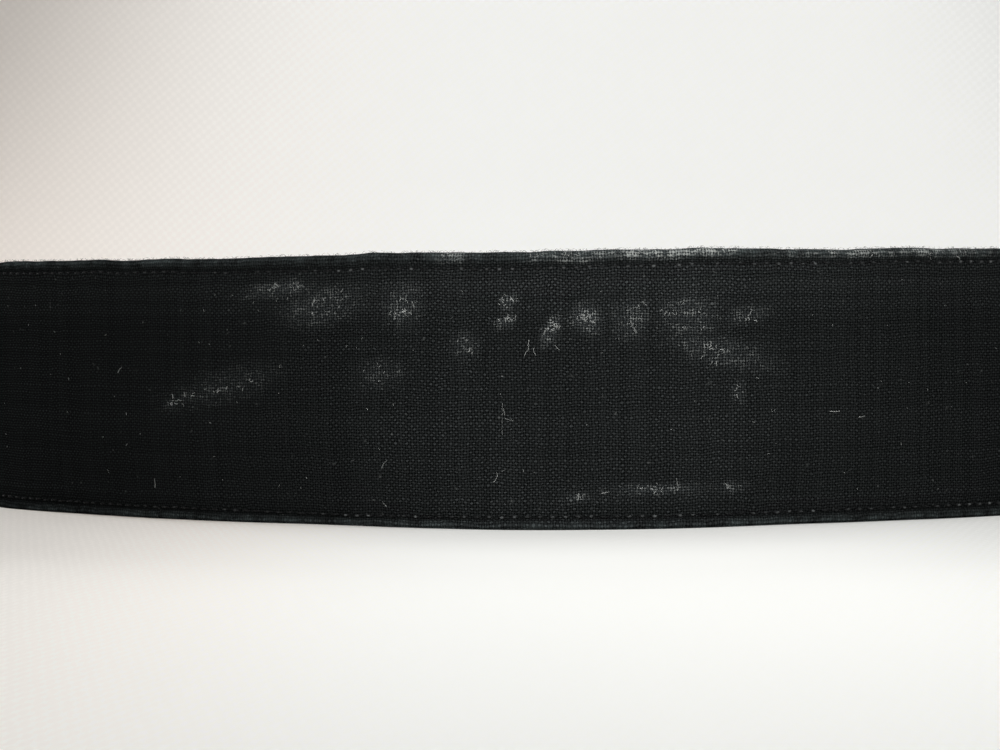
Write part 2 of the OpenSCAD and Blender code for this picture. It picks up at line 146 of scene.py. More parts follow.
def deselect():
    bpy.ops.object.select_all(action="DESELECT")


def pick(obj, others=()):
    deselect()
    for one in (obj, *others):
        one.select_set(True)
    bpy.context.view_layer.objects.active = obj
    return obj


def called(name):
    obj = bpy.context.object
    obj.name = obj.data.name = name
    return obj


def newPiece(name, data):
    obj = bpy.data.objects.new(name, data)
    bpy.context.collection.objects.link(obj)
    return pick(obj)


def meshPiece(name, points, faces):
    mesh = bpy.data.meshes.new(name)
    mesh.from_pydata(points, [], faces)
    return newPiece(name, mesh)


def turnOutwards(obj, merge=0.0, extrude=0.0):
    # in edit mode: give a flat outline its thickness, join doubles and point every face outwards
    pick(obj)
    bpy.ops.object.mode_set(mode="EDIT")
    bpy.ops.mesh.select_all(action="SELECT")
    if extrude:
        bpy.ops.mesh.extrude_region_move(TRANSFORM_OT_translate={"value": (0, 0, extrude)})
        bpy.ops.mesh.select_all(action="SELECT")
    if merge:
        bpy.ops.mesh.remove_doubles(threshold=merge)
    bpy.ops.mesh.normals_make_consistent(inside=False)
    bpy.ops.object.mode_set(mode="OBJECT")
    return obj


def modify(obj, kind, **settings):
    change = pick(obj).modifiers.new(kind.title(), kind)
    for name, value in settings.items():
        setattr(change, name, value)
    bpy.ops.object.modifier_apply(modifier=change.name)
    return obj


def thicken(obj, thickness):
    return modify(obj, "SOLIDIFY", thickness=thickness, offset=0.0, use_even_offset=False)


def ease(obj, width, segments=3, angle=40):
    return modify(obj, "BEVEL", width=width, segments=segments, limit_method="ANGLE",
                  angle_limit=math.radians(angle))


def joinInto(obj, others):
    pick(obj, others)
    bpy.ops.object.join()
    return bpy.context.object


def dress(obj, body, material, replaced=(), smooth=40):
    obj.data.materials.clear()
    obj.data.materials.append(material)
    if smooth:
        pick(obj)
        bpy.ops.object.shade_smooth_by_angle(angle=math.radians(smooth))
    if body:
        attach(obj, body)
    if replaced:
        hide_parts(*replaced)


def fillMap(obj, uv):
    # the flat map in mm, from one pair for each point
    corner = np.empty(len(obj.data.loops), int)
    obj.data.loops.foreach_get("vertex_index", corner)
    layers = obj.data.uv_layers
    layer = layers[0] if layers else layers.new()
    layer.name = "threadMap"
    layer.data.foreach_set("uv", uv[corner].ravel())


def girthOf(path):
    # the length gone along a path at each of its points
    return np.concatenate([[0], np.cumsum(np.linalg.norm(np.diff(path, axis=0), axis=1))])


def clothGrid(name, stations, profile):
    # a grid whose columns stand at the stations and whose rows follow the profile of (depth, height)
    stations, profile = np.array(stations, float), np.array(profile, float)
    cols, rows = len(stations), len(profile)
    deselect()
    bpy.ops.mesh.primitive_grid_add(x_subdivisions=cols - 1, y_subdivisions=rows - 1, size=1)
    obj = called(name)
    co = readPoints(obj) + 0.5
    col, row = (np.rint(co[:, n] * (count - 1)).astype(int) for n, count in ((0, cols), (1, rows)))
    writePoints(obj, np.column_stack([stations[col], profile[row]]))
    fillMap(obj, np.stack([stations[col], girthOf(profile)[row]], 1))
    return obj


def paint(obj, **layers):
    # a number on every point, for a material to read
    for name, values in layers.items():
        layer = obj.data.attributes.new(name, "FLOAT", "POINT")
        layer.data.foreach_set("value", np.broadcast_to(values, len(obj.data.vertices)).astype(np.float32))


class Wire:
    # one output in a node tree; sums written with wires add math nodes
    def __init__(self, socket):
        self.socket, self.tree = socket, socket.id_data


def connect(value, socket):
    # a value is a number, a colour or a wire
    if isinstance(value, Wire):
        value.tree.links.new(value.socket, socket)
    else:
        socket.default_value = value


def addNode(tree, kind, inputs, output=0, **settings):
    node = tree.nodes.new("ShaderNode" + kind)
    for name, value in settings.items():
        setattr(node, name, value)
    for name, value in inputs.items():
        connect(value, node.inputs[name])
    return Wire(node.outputs[output])


def treeOf(*values):
    return next(value.tree for value in values if isinstance(value, Wire))


def calc(operation, a, b=0.0, clamp=False):
    return addNode(treeOf(a, b), "Math", {0: a, 1: b}, operation=operation, use_clamp=clamp)


signs = {"add": "ADD", "sub": "SUBTRACT", "mul": "MULTIPLY", "truediv": "DIVIDE", "pow": "POWER"}
for sign, operation in signs.items():
    setattr(Wire, f"__{sign}__", lambda a, b, operation=operation: calc(operation, a, b))
    setattr(Wire, f"__r{sign}__", lambda b, a, operation=operation: calc(operation, a, b))


def vectorCalc(operation, a, b, c=(0, 0, 0)):
    return addNode(treeOf(a, b), "VectorMath", {0: a, 1: b, 2: c}, operation=operation)


def blendNumber(factor, a, b):
    return addNode(treeOf(factor, a, b), "Mix", {0: factor, 2: a, 3: b}, data_type="FLOAT")


def blendColour(factor, a, b, mode="MIX"):
    tree = treeOf(factor, a, b)
    return addNode(tree, "Mix", {0: factor, 6: a, 7: b}, 2, data_type="RGBA", blend_type=mode)


def noise(vector, scale, detail=2.0, rough=0.5, output="Fac"):
    inputs = {"Vector": vector, "Scale": scale, "Detail": detail, "Roughness": rough}
    return addNode(vector.tree, "TexNoise", inputs, output)


def band01(value, low, high, toLow=0.0, toHigh=1.0):
    inputs = dict(enumerate((value, low, high, toLow, toHigh)))
    return addNode(value.tree, "MapRange", inputs, interpolation_type="SMOOTHSTEP")


def stretched(vector, scale, turn=0.0):
    return addNode(vector.tree, "Mapping", {"Vector": vector, "Scale": scale, "Rotation": (0, 0, turn)})


def partsOf(vector):
    first = addNode(vector.tree, "SeparateXYZ", {0: vector})
    return [Wire(output) for output in first.socket.node.outputs]


def fromMiddle(value):
    # how far a number is from the middle of its own cell
    return calc("ABSOLUTE", calc("FRACT", value) - 0.5)


def chanceAt(x, y):
    # one random number for each pair of whole numbers
    key = addNode(treeOf(x, y), "CombineXYZ", {0: x, 1: y})
    return addNode(key.tree, "TexWhiteNoise", {"Vector": key}, "Value", noise_dimensions="2D")


def newGroup(name, inputs, outputs):
    # a group of nodes: an input with no number of its own is a vector, and every output is a number
    group = bpy.data.node_groups.new(name, "ShaderNodeTree")
    for socket, value in inputs.items():
        kind = "NodeSocketVector" if value is None else "NodeSocketFloat"
        made = group.interface.new_socket(socket, in_out="INPUT", socket_type=kind)
        if value is not None:
            made.default_value = value
    for socket in outputs:
        group.interface.new_socket(socket, in_out="OUTPUT", socket_type="NodeSocketFloat")
    inside = group.nodes.new("NodeGroupInput")
    return group, [Wire(inside.outputs[socket]) for socket in inputs]


def closeGroup(group, **results):
    out = group.nodes.new("NodeGroupOutput")
    for name, value in results.items():
        connect(value, out.inputs[name])
    return group


weaveShape = {"drift": (0.16, 3.0), "shake": (1.3, 1.0), "shakeBy": 0.75, "thin": 2.3, "thick": 0.6,
              "round": 0.52, "rise": 0.10, "deep": 0.9, "hole": (0.58, 0.92), "holeBy": 0.16,
              "crown": (0.72, 0.99)}


def makeWeaveGroup():
    # plain weave on a flat map in mm: over and under threads change places from cell to cell
    shape = weaveShape
    group, (flat, pitch, slub) = newGroup("plainWeave", {"Map": None, "Pitch": 0.5, "Slub": 0.1},
                                          ("Height", "Crown", "Tone", "Fleck", "Over"))
    drift = vectorCalc("SUBTRACT", noise(flat, *shape["drift"], output="Color"), (0.5, 0.5, 0.5))
    moved = vectorCalc("MULTIPLY_ADD", drift, slub, flat)
    shake = noise(flat, *shape["shake"], output="Color")
    x, y, z = partsOf(vectorCalc("MULTIPLY_ADD", shake, pitch * shape["shakeBy"], moved))
    across, upward = x / pitch, y / pitch
    column, row = calc("FLOOR", across), calc("FLOOR", upward)
    odd = calc("PINGPONG", column + row, 1.0)
    fx, fy = fromMiddle(across), fromMiddle(upward)
    thread, crossing = chanceAt(blendNumber(odd, column, row), odd), chanceAt(column, row)
    # thick and thin threads; the hole is where four threads meet
    side = (blendNumber(odd, fx, fy) * (shape["thin"] - thread * shape["thick"])) ** 2.0
    runs = (blendNumber(odd, fy, fx) * 2.0) ** 2.0
    hole = band01(fx + fy + crossing * shape["holeBy"], *shape["hole"])
    hill = 1.0 - side * shape["round"] - runs * shape["rise"]
    height = calc("SUBTRACT", hill, hole * shape["deep"], clamp=True)
    crown = band01(height, *shape["crown"])
    return closeGroup(group, Height=height, Crown=crown, Tone=thread, Fleck=crossing, Over=odd)


def makeWearGroup():
    # grime and fading: broad soft patches, and fine specks
    group, (place, size) = newGroup("handlingWear", {"Place": None, "Size": 1.0}, ("Patches", "Specks"))
    scaled = vectorCalc("MULTIPLY", place, size)
    return closeGroup(group, Patches=band01(noise(scaled, 34.0, 4.0, 0.55), 0.35, 0.72),
                      Specks=band01(noise(scaled, 900.0, 2.0, 0.6), 0.69, 0.80))


weaveGroup, wearGroup = makeWeaveGroup(), makeWearGroup()


def groupNode(tree, group, **values):
    first = addNode(tree, "Group", values, node_tree=group)
    return {output.name: Wire(output) for output in first.socket.node.outputs}


shaderSockets = {"roughness": "Roughness", "specular": "Specular IOR Level", "sheen": "Sheen Weight",
                 "sheenRoughness": "Sheen Roughness", "sheenTint": "Sheen Tint", "metallic": "Metallic"}


def newMaterial(name, **values):
    material = bpy.data.materials.new(name)
    material.use_nodes = True
    tree = material.node_tree
    for key, value in values.items():
        tree.nodes["Principled BSDF"].inputs[shaderSockets[key]].default_value = value
    place = addNode(tree, "TexCoord", {}, "Object")
    flat = addNode(tree, "UVMap", {}, uv_map="threadMap")
    return material, tree, place, flat


def finish(material, colour, height=None, depth=0.0, **others):
    # the colour, the bump and what else changes over the surface, on the shader's own sockets
    shader = material.node_tree.nodes["Principled BSDF"]
    if height:
        bump = {"Height": height, "Distance": depth, "Strength": 1.0}
        others["Normal"] = addNode(height.tree, "Bump", bump)
    for socket, value in {"Base Color": colour, **others}.items():
        connect(value, shader.inputs[socket])
    return material


def painted(tree, name):
    return addNode(tree, "Attribute", {}, "Fac", attribute_name=name)


# The outer cloth; one list below gives the middles and reaches of the stretches that hands have rubbed most,
# where the painted highlights on the thread crowns are strongest
# its gap colour is painted shade deep in the weave, and its crown colour a painted highlight on the thread
# tops
outerCloth = {"thick": 0.6, "foldRadius": 1.0, "lowFold": 1.0, "highFold": 1.3, "stitchIn": 2.5,
              "stitchPitch": 2.28, "groove": 0.50, "swell": 0.10, "roll": 0.22, "pucker": 0.08,
              "puckerStep": 3.4, "rounds": 399, "wall": (1.2, 48.8), "pitch": 0.51, "slub": 1.1,
              "gap": (0.0042, 0.0048, 0.0048, 1), "thread": (0.0151, 0.0166, 0.0165, 1),
              "handled": [(-8, 41), (-230, 70), (-420, 50), (170, 68)], "unhandled": 0.30,
              "crown": (0.106, 0.115, 0.118, 1), "wornSheen": (0.088, 0.107, 0.107, 1),
              "chalk": (0.46, 0.48, 0.46, 1), "haze": (0.16, 0.18, 0.19, 1), "tint": (0.80, 0.92, 1.0, 1),
              "litFromAbove": (0.036, 0.046, 0.96, 1.26), "seamShade": 0.62, "specks": 0.12}

# chalky rubs: place along the belt, height, half length, half height, slant in degrees, strength
chalkRubs = [(-60.1, 43.7, 6.4, 1.5, 8, 0.45), (-57.1, 44.2, 2.6, 1.2, 0, 0.9),
             (-51.2, 40.5, 7.2, 3.3, 10, 0.42), (-35.7, 40.4, 3.4, 3.7, 0, 0.42),
             (-35.8, 39.0, 1.8, 1.4, 20, 0.8), (-24.2, 33.1, 2.2, 2.1, 0, 0.38),
             (-16.5, 40.9, 1.1, 0.9, 40, 0.95), (-17.0, 37.3, 1.7, 0.8, 25, 0.95),
             (-8.9, 35.6, 1.2, 2.5, -20, 1.0), (-2.6, 37.6, 2.7, 2.1, -30, 0.85),
             (5.2, 37.5, 3.0, 3.1, 0, 0.5), (15.7, 37.9, 4.8, 3.7, -12, 0.42),
             (26.0, 38.0, 4.0, 1.2, 4, 0.4), (21.4, 31.7, 9.0, 2.3, -14, 0.36),
             (24.7, 24.2, 0.9, 2.5, 0, 0.32), (-71.9, 25.4, 11.5, 2.8, 14, 0.26),
             (-82.6, 22.0, 1.9, 1.0, 0, 0.55), (-79.3, 23.5, 1.3, 0.8, 0, 0.42),
             (-39.8, 28.1, 4.2, 2.4, 0, 0.24), (-4.7, 6.1, 2.0, 0.8, 0, 0.5), (9.7, 7.1, 8.6, 0.8, 3, 0.55),
             (23.5, 7.5, 2.6, 0.8, 0, 0.4), (-26.7, 48.9, 2.2, 0.9, 0, 0.5), (-11.5, 49.0, 2.0, 0.8, 0, 0.5),
             (-4.0, 48.9, 4.6, 0.9, 0, 0.8), (4.9, 49.3, 2.6, 0.8, 0, 1.2),
             (19.7, 49.4, 4.2, 0.75, 0, 1.15), (11.5, 49.0, 5.0, 0.8, 0, 0.8),
             (53.9, 49.2, 23.0, 0.7, 0, 0.4)]

# how far in from its edge each stitched row runs, at lengths round from the front
seamRow = {"upper": ((-140, -100, -50, -18, 10, 40, 80), (2.5, 2.45, 2.9, 3.1, 2.95, 2.6, 2.5)),
           "lower": ((-140, -70, -45, -10, 30, 80), (2.5, 2.35, 2.0, 2.45, 2.4, 2.5))}


def seamHeight(s, which):
    inset = np.interp(s, *seamRow[which])
    return ring["height"] - inset if which == "upper" else inset


def stitchWave(s, level):
    return level + (1 - level) * np.cos(6.283 * (s - bandLeft) / outerCloth["stitchPitch"])


def seamDip(s, offset):
    # how deep the thread pulls the face in; offset is the distance from the seam, away from the edge
    dip = outerCloth["groove"] * stitchWave(s, 0.70) * hump(offset, -0.5, 0.62)
    swell = outerCloth["swell"] * hump(offset, 2.2, 1.4)
    roll = outerCloth["roll"] * hump(offset, -1.75, 0.55)
    return dip - swell - roll


def roughAlong(s, seed, step, wrap=0):
    # a random number at every step along the belt: the ones before and after each place, and how far between
    chance = np.random.default_rng(seed).normal(0, 1, 500)
    n, share = np.divmod((s - bandLeft) / step, 1)
    n = n.astype(int) % wrap if wrap else n.astype(int).clip(0)
    return chance[n], chance[n + 1], share


def outerProfile():
    # up from the lower hem, round the pressed fold, over the face and down behind the upper fold
    r, half, top = outerCloth["foldRadius"], outerCloth["thick"] / 2, ring["height"]
    core, back = half + r, half + 2 * r
    low, high = outerCloth["lowFold"], top - outerCloth["highFold"]
    turn = np.radians(np.linspace(0, 180, 9))
    points = [(back, z) for z in (8.0, 5.5, 3.2, low + 0.6)]
    points += [(core + r * math.cos(a), max(half, low - r * math.sin(a))) for a in turn]
    points += [(half, z) for z in (1.35, 1.7, 2.05, 2.4, 2.75, 3.15, 3.7, 4.5, *np.linspace(5.8, 44.2, 29))]
    points += [(half, top - z) for z in (4.6, 3.8, 3.25, 2.85, 2.5, 2.2, 1.9, 1.6)]
    points += [(core - r * math.cos(a), high + r * math.sin(a)) for a in turn]
    return points + [(back, z) for z in (high - 0.6, 46.4, 44.6, 43.0)]


def makeOuterCloth():
    stitches = int((bandRight - bandLeft) / outerCloth["stitchPitch"])
    cloth = clothGrid("outer_cloth", np.linspace(bandLeft, bandRight, stitches * 2 + 1), outerProfile())
    co = readPoints(cloth)
    s, depth, z = co.T
    outside = np.clip(1.6 - depth, 0, 1)
    seam, chalk, handled = np.zeros(len(co)), np.zeros(len(co)), np.full(len(co), outerCloth["unhandled"])
    for which, inward, seed in (("lower", 1, 3), ("upper", -1, 8)):
        # the thread pulls a groove beside the rolled edge, and the face swells again past it
        offset = (z - seamHeight(s, which)) * inward
        depth += outside * seamDip(s, offset)
        # a mask for the painted shade in the groove, deepest at each stitch
        seam = np.maximum(seam, outside * stitchWave(s, 0.62) * hump(offset, -0.42, 0.55))
        # short puckers run in from the seam
        before, after, share = roughAlong(s, seed, outerCloth["puckerStep"], outerCloth["rounds"])
        pucker = outerCloth["pucker"] * (before * (1 - share) + after * share)
        depth += outside * pucker * np.exp(-np.abs(np.clip(offset, -1.2, 99)) / 3.0)
    writePoints(cloth, co)
    for place, height, halfLength, halfHeight, slant, strength in chalkRubs:
        c, d = math.cos(math.radians(slant)), math.sin(math.radians(slant))
        x, y = (s - place) * c + (z - height) * d, (z - height) * c - (s - place) * d
        reach = (x / halfLength) ** 2 + (y / halfHeight) ** 2
        chalk = np.maximum(chalk, strength * np.exp(-reach ** 1.5) * outside)
    # how strong the painted highlights on the thread crowns are along the belt: strongest where hands rub it
    for place, reach in outerCloth["handled"]:
        rest = outerCloth["unhandled"]
        handled = np.maximum(handled, rest + (1 - rest) * hump(s, place, reach))
    # the folded edges, for their worn thread and painted sheen
    fold = outside * (hump(z, ring["height"] - 0.55, 0.9) + 0.75 * hump(z, 0.5, 0.8))
    paint(cloth, chalk=chalk, fold=fold, seam=seam, handled=handled)
    half = outerCloth["thick"] / 2
    walls = [makeEndWall("endWallLeft", bandLeft + half), makeEndWall("endWallRight", bandRight - half)]
    cloth = joinInto(cloth, walls)
    thicken(bendRound(cloth), outerCloth["thick"] * mm)
    dress(cloth, "band", outerMaterial(), ["outer_cloth"])


# depths of the inner cloth's middle at heights up the band
pocket = {"heights": (0.9, 4.0, 8.0, 42.0, 46.0, 49.1), "depths": (3.55, 3.55, 5.2, 5.2, 3.55, 3.55)}


def innerDepth(z):
    return np.interp(z, pocket["heights"], pocket["depths"])


def makeEndWall(name, s):
    # the cloth turned in across the band's end
    low, high = outerCloth["wall"]
    wall = clothGrid(name, np.linspace(0, 1, 7), [(0, z) for z in np.linspace(low, high, 33)])
    share, depth, z = readPoints(wall).T
    depth = outerCloth["thick"] / 2 + share * (innerDepth(z) - 0.55)
    writePoints(wall, np.stack([np.full(len(z), s), depth, z], 1))
    paint(wall, chalk=0.0, fold=0.0, seam=0.0, handled=outerCloth["unhandled"])
    if s > 0:
        wall.data.flip_normals()
    return wall


def outerMaterial():
    material, tree, place, flat = newMaterial("blackCotton", roughness=0.55, specular=0.0, sheen=0.002,
                                              sheenRoughness=0.45, sheenTint=outerCloth["tint"])
    weave = groupNode(tree, weaveGroup, Map=flat, Pitch=outerCloth["pitch"], Slub=outerCloth["slub"])
    wear = groupNode(tree, wearGroup, Place=place, Size=1.0)
    height, crown, fleck, over = (weave[name] for name in ("Height", "Crown", "Fleck", "Over"))
    # painted shade: the low parts of the weave, between the threads, are darker than the threads
    shade = blendColour(band01(height, 0.05, 0.75), outerCloth["gap"], outerCloth["thread"])
    # painted highlights: single crossings catch the light, most of all the ones lying across that face the
    # light from above, and more of them on the stretches that hands have rubbed
    patches = (0.70 + wear["Patches"] * 0.5) * painted(tree, "handled")
    some = 0.15 + fleck * 0.36 + fleck ** 9.0 * 0.12
    lit = calc("MULTIPLY", some * (0.30 + over * 0.62), crown * patches, clamp=True)
    shade = blendColour(lit, shade, outerCloth["crown"])
    # each thread's own random tone, and painted light: the crossings that lie across, facing the light from
    # above, are lighter
    shade = blendColour(1.0, shade, 0.66 + weave["Tone"] * 0.3 + over * 0.24, "MULTIPLY")
    # painted light: the upper part is lighter, as the light falls from above
    shade = blendColour(1.0, shade, band01(partsOf(place)[2], *outerCloth["litFromAbove"]), "MULTIPLY")
    # painted shade in the pressed groove beside the seams, deepest at the holes that the needle left
    shade = blendColour(painted(tree, "seam") * outerCloth["seamShade"], shade, outerCloth["gap"])
    # pale worn thread along the folds, with painted sheen where the rolled edges face the light
    chalk, crease = painted(tree, "chalk"), painted(tree, "fold")
    wornAndLit = crease * band01(noise(flat, 0.35, 4.0, 0.6), 0.30, 0.75)
    wornAndLit = calc("MULTIPLY", wornAndLit, 0.40 + crown * fleck, clamp=True)
    shade = blendColour(wornAndLit, shade, outerCloth["wornSheen"])
    # chalk sits on the crowns of the threads, in broken clusters and short fibres
    clusters = band01(noise(stretched(flat, (0.7, 1.1, 1.0)), 0.6, 5.0, 0.75), 0.465, 0.585)
    fibres = band01(noise(stretched(flat, (1.0, 2.4, 1.0), 0.5), 1.9, 3.0, 0.6), 0.56, 0.68)
    powder = clusters * crown * band01(fleck, 0.15, 0.8) + fibres * 0.75 + crease * clusters * 1.2
    powder = calc("MULTIPLY", chalk * powder, band01(height, 0.2, 0.8), clamp=True)
    shade = blendColour(powder, shade, outerCloth["chalk"])
    haze = calc("MINIMUM", chalk, 0.6) * 0.20 * (0.3 + crown)
    shade = blendColour(haze, shade, outerCloth["haze"])
    shade = blendColour(wear["Specks"] * outerCloth["specks"], shade, outerCloth["chalk"])
    fuzz = noise(flat, 9.0, 2.0, 0.6) * 0.35
    return finish(material, shade, height + fuzz, 0.00004, Roughness=band01(crown, 0.0, 1.0, 0.85, 0.46))


makeOuterCloth()
print("outer cloth done")

# The layers inside the band
layers = {"interlining": {"depth": 1.3, "thick": 1.0, "low": 1.4, "high": 48.3, "on": "outer_cloth"},
          "pocket_lining": {"depth": 2.8, "thick": 0.3, "low": 5.3, "high": 44.7, "on": "interlining"},
          "inset": 1.2, "felt": ((0.42, 0.42, 0.38, 1), (0.60, 0.59, 0.54, 1)),
          "lining": ((0.004, 0.004, 0.005, 1), (0.02, 0.021, 0.023, 1))}


def feltMaterial():
    material, tree, place, flat = newMaterial("stiffFelt", roughness=0.95, specular=0.1)
    fibres = noise(flat, 1.6, 4.0, 0.7)
    return finish(material, blendColour(fibres, *layers["felt"]), fibres, 0.0001)


def liningMaterial():
    material, tree, place, flat = newMaterial("thinLining", roughness=0.6, specular=0.25, sheen=0.05)
    height = groupNode(tree, weaveGroup, Map=flat, Pitch=0.24, Slub=0.1)["Height"]
    # painted shade: darker in the low parts of the weave
    return finish(material, blendColour(height, *layers["lining"]), height, 0.00005)


def makeLayer(name, material):
    sizes, inset = layers[name], layers["inset"]
    stations = np.linspace(bandLeft + inset, bandRight - inset, 260)
    rows = [(sizes["depth"], z) for z in np.linspace(sizes["low"], sizes["high"], 9)]
    layer = clothGrid(name, stations, rows)
    thicken(bendRound(layer), sizes["thick"] * mm)
    dress(layer, "band", material, [name])


makeLayer("interlining", feltMaterial())
makeLayer("pocket_lining", liningMaterial())
print("hidden layers done")

# The inner cloth, with the window for the zip
innerCloth = {"thick": 0.6, "windowLeft": 150.818, "windowRight": 314.868, "windowHalf": 6.0,
              "slackStep": 7.5, "slack": 0.16}
zipRun = {"left": 152.22, "right": 313.466}


def innerProfile():
    # down from the turned-in upper edge, over the pocket, and in again at the lower edge
    points = [(2.95, 46.0), (2.95, 47.4), (2.96, 48.5), (3.05, 48.86), (3.25, 49.0), (3.45, 48.86),
              (3.54, 48.5), (3.56, 47.9), (3.62, 47.5), (3.56, 47.1), (3.56, 46.2)]
    heights = [45.4, 44.4, 43.2, 42.0, 40.6, 39.0, 37.4, 35.8, 34.4, 33.4, 33.0, 32.6, 32.0, 31.5, 31.15,
               31.0]
    points += [(float(innerDepth(z)), z) for z in heights + [29.0, 27.0, middle]]
    return points + [(depth, ring["height"] - z) for depth, z in reversed(points[:-1])]


def innerMaterial():
    material, tree, place, flat = newMaterial("blackCottonInside", roughness=0.75, specular=0.12, sheen=0.04,
                                              sheenTint=outerCloth["tint"])
    weave = groupNode(tree, weaveGroup, Map=flat, Pitch=outerCloth["pitch"], Slub=0.42)
    wear = groupNode(tree, wearGroup, Place=place, Size=0.8)
    # painted shade between the threads and painted highlights on some thread crowns; lighter patches at
    # random
    shade = blendColour(weave["Height"], outerCloth["gap"], outerCloth["thread"])
    shade = blendColour(weave["Crown"] * noise(flat, 5.5, 3.0, 0.7), shade, outerCloth["crown"])
    shade = blendColour(wear["Patches"] * 0.16, shade, outerCloth["crown"])
    return finish(material, shade, weave["Height"], 0.00013)


def makeInnerCloth():
    left, right = alongRing(innerCloth["windowLeft"]), alongRing(innerCloth["windowRight"])
    half = innerCloth["windowHalf"]
    stations = np.concatenate([np.linspace(bandLeft, left, 56)[:-1], np.linspace(left, right, 470),
                               np.linspace(right, bandRight, 56)[1:]])
    cloth = pick(clothGrid("inner_cloth", stations, innerProfile()))
    bpy.ops.object.mode_set(mode="EDIT")
    bpy.ops.mesh.select_all(action="DESELECT")
    bpy.ops.object.mode_set(mode="OBJECT")
    for face in cloth.data.polygons:
        x, y, z = face.center
        face.select = left < x < right and abs(z - middle) < half and y > 4
    bpy.ops.object.mode_set(mode="EDIT")
    bpy.ops.mesh.delete(type="FACE")
    bpy.ops.object.mode_set(mode="OBJECT")
    co = readPoints(cloth)
    s, depth, z = co.T
    # the window's turned edges stand up, and its seam draws in
    over = np.clip(depth - 4.2, 0, 1)
    edge = np.maximum(np.abs(z - middle) - half, np.maximum(left - s, s - right))
    depth += over * (0.18 * hump(edge, 0.9, 0.7) - 0.22 * hump(edge, 2.0, 0.45))
    # the pocket is slack on both sides of it
    before, after, share = roughAlong(s, 11, innerCloth["slackStep"])
    pull = before * (1 - eased(share)) + after * eased(share)
    depth += innerCloth["slack"] * pull * hump(np.abs(z - middle), 15.5, 4.5)
    writePoints(cloth, co)
    thicken(bendRound(cloth), innerCloth["thick"] * mm)
    dress(cloth, "band", innerMaterial(), ["inner_cloth"])


makeInnerCloth()
print("inner cloth done")

# Sewing
# the stitches' light and glint colours are painted highlights; their glints fade over a stretch at the far
# left, where less light falls
sewing = {"width": 0.42, "height": 0.36, "proud": 0.10, "fill": 0.86, "twist": (3.5, 0.5),
          "wornAndLit": (-0.105, -0.050), "dark": (0.002, 0.0021, 0.0023, 1),
          "light": (0.009, 0.0098, 0.0102, 1), "glint": (0.12, 0.127, 0.127, 1), "tilt": (-0.12, 0.12),
          "rise": (-0.02, 0.06), "full": (0.8, 1.1), "sway": (-0.07, 0.07),
          "window": (150.117, 315.569, 2.0), "box": (4.3, 24.2, 8.75), "windowPitch": 2.1, "boxPitch": 2.2,
          "strapPitch": 2.0, "windowDepth": 5.32, "backDepth": 3.93}


def threadMaterial():
    material, tree, place, flat = newMaterial("blackThread", roughness=0.5, specular=0.1)
    along, across, z = partsOf(flat)
    # two plies twisted together, painted lighter on their crests and darker between them, with a painted
    # glint on the crest of some stitches, fewer of them at the far left where less light falls
    twist = calc("PINGPONG", along * sewing["twist"][0] + across * sewing["twist"][1], 0.5) * 2.0
    number = addNode(tree, "TexWhiteNoise", {"W": calc("FLOOR", along)}, "Value", noise_dimensions="1D")
    glint = band01(fromMiddle(along), 0.05, 0.17, 1.0, 0.0) * number ** 2.0
    glint = glint * band01(partsOf(place)[0], *sewing["wornAndLit"], 0.04, 1.0)
    shade = blendColour(glint, blendColour(twist, sewing["dark"], sewing["light"]), sewing["glint"])
    return finish(material, shade, twist, 0.00008)


def makeStitch(length):
    # one stitch lying along X: a bead whose ends dive into the cloth
    deselect()
    turn = (0, math.radians(90), 0)
    bpy.ops.mesh.primitive_uv_sphere_add(segments=6, ring_count=6, radius=1, rotation=turn)
    bpy.ops.object.transform_apply(location=False, rotation=True, scale=False)
    stitch = called("stitch")
    x, y, z = readPoints(stitch).T
    long, high, wide = length * sewing["fill"], sewing["height"], sewing["width"]
    points = [x * long / 2, y * high / 2 + np.abs(x) ** 2.2 * high, z * wide / 2]
    faces = [tuple(face.vertices) for face in stitch.data.polygons]
    bpy.data.objects.remove(stitch)
    return points, faces


def sewLine(name, path, pitch, depthAt, inward=False, heightAt=None):
    # copies of one stitch set end to end along a path of (length, height) points
    points, faces = makeStitch(pitch)
    allPoints, allFaces, allMaps = [], [], []
    wander = random.Random(len(name))
    for (s0, z0), (s1, z1) in zip(path[:-1], path[1:]):
        span = math.hypot(s1 - s0, z1 - z0)
        count = max(1, round(span / pitch))
        c, d = (s1 - s0) / span, (z1 - z0) / span
        for n in range(count):
            s = s0 + (s1 - s0) * (n + 0.5) / count
            height = heightAt(s) if heightAt else z0 + (z1 - z0) * (n + 0.5) / count
            x = points[0] * (span / count / pitch)
            tilt, rise, full, sway = (wander.uniform(*sewing[key])
                                      for key in ("tilt", "rise", "full", "sway"))
            y = points[1] + rise - sewing["proud"]
            z = points[2] * full + tilt * x + sway
            depth = depthAt(s) + (-y if inward else y)
            allFaces += [tuple(len(allPoints) * len(x) + i for i in face) for face in faces]
            allPoints.append(np.stack([s + c * x - d * z, depth, height + d * x + c * z], 1))
            allMaps.append(np.stack([points[0] / pitch + 0.5 + n, points[2] / sewing["width"]], 1))
    row = meshPiece(name, np.concatenate(allPoints).tolist(), allFaces)
    fillMap(row, np.concatenate(allMaps))
    return turnOutwards(row)


def boxPath(left, right, halfHigh):
    low, high = middle - halfHigh, middle + halfHigh
    return [(left, low), (right, low), (right, high), (left, high), (left, low)]


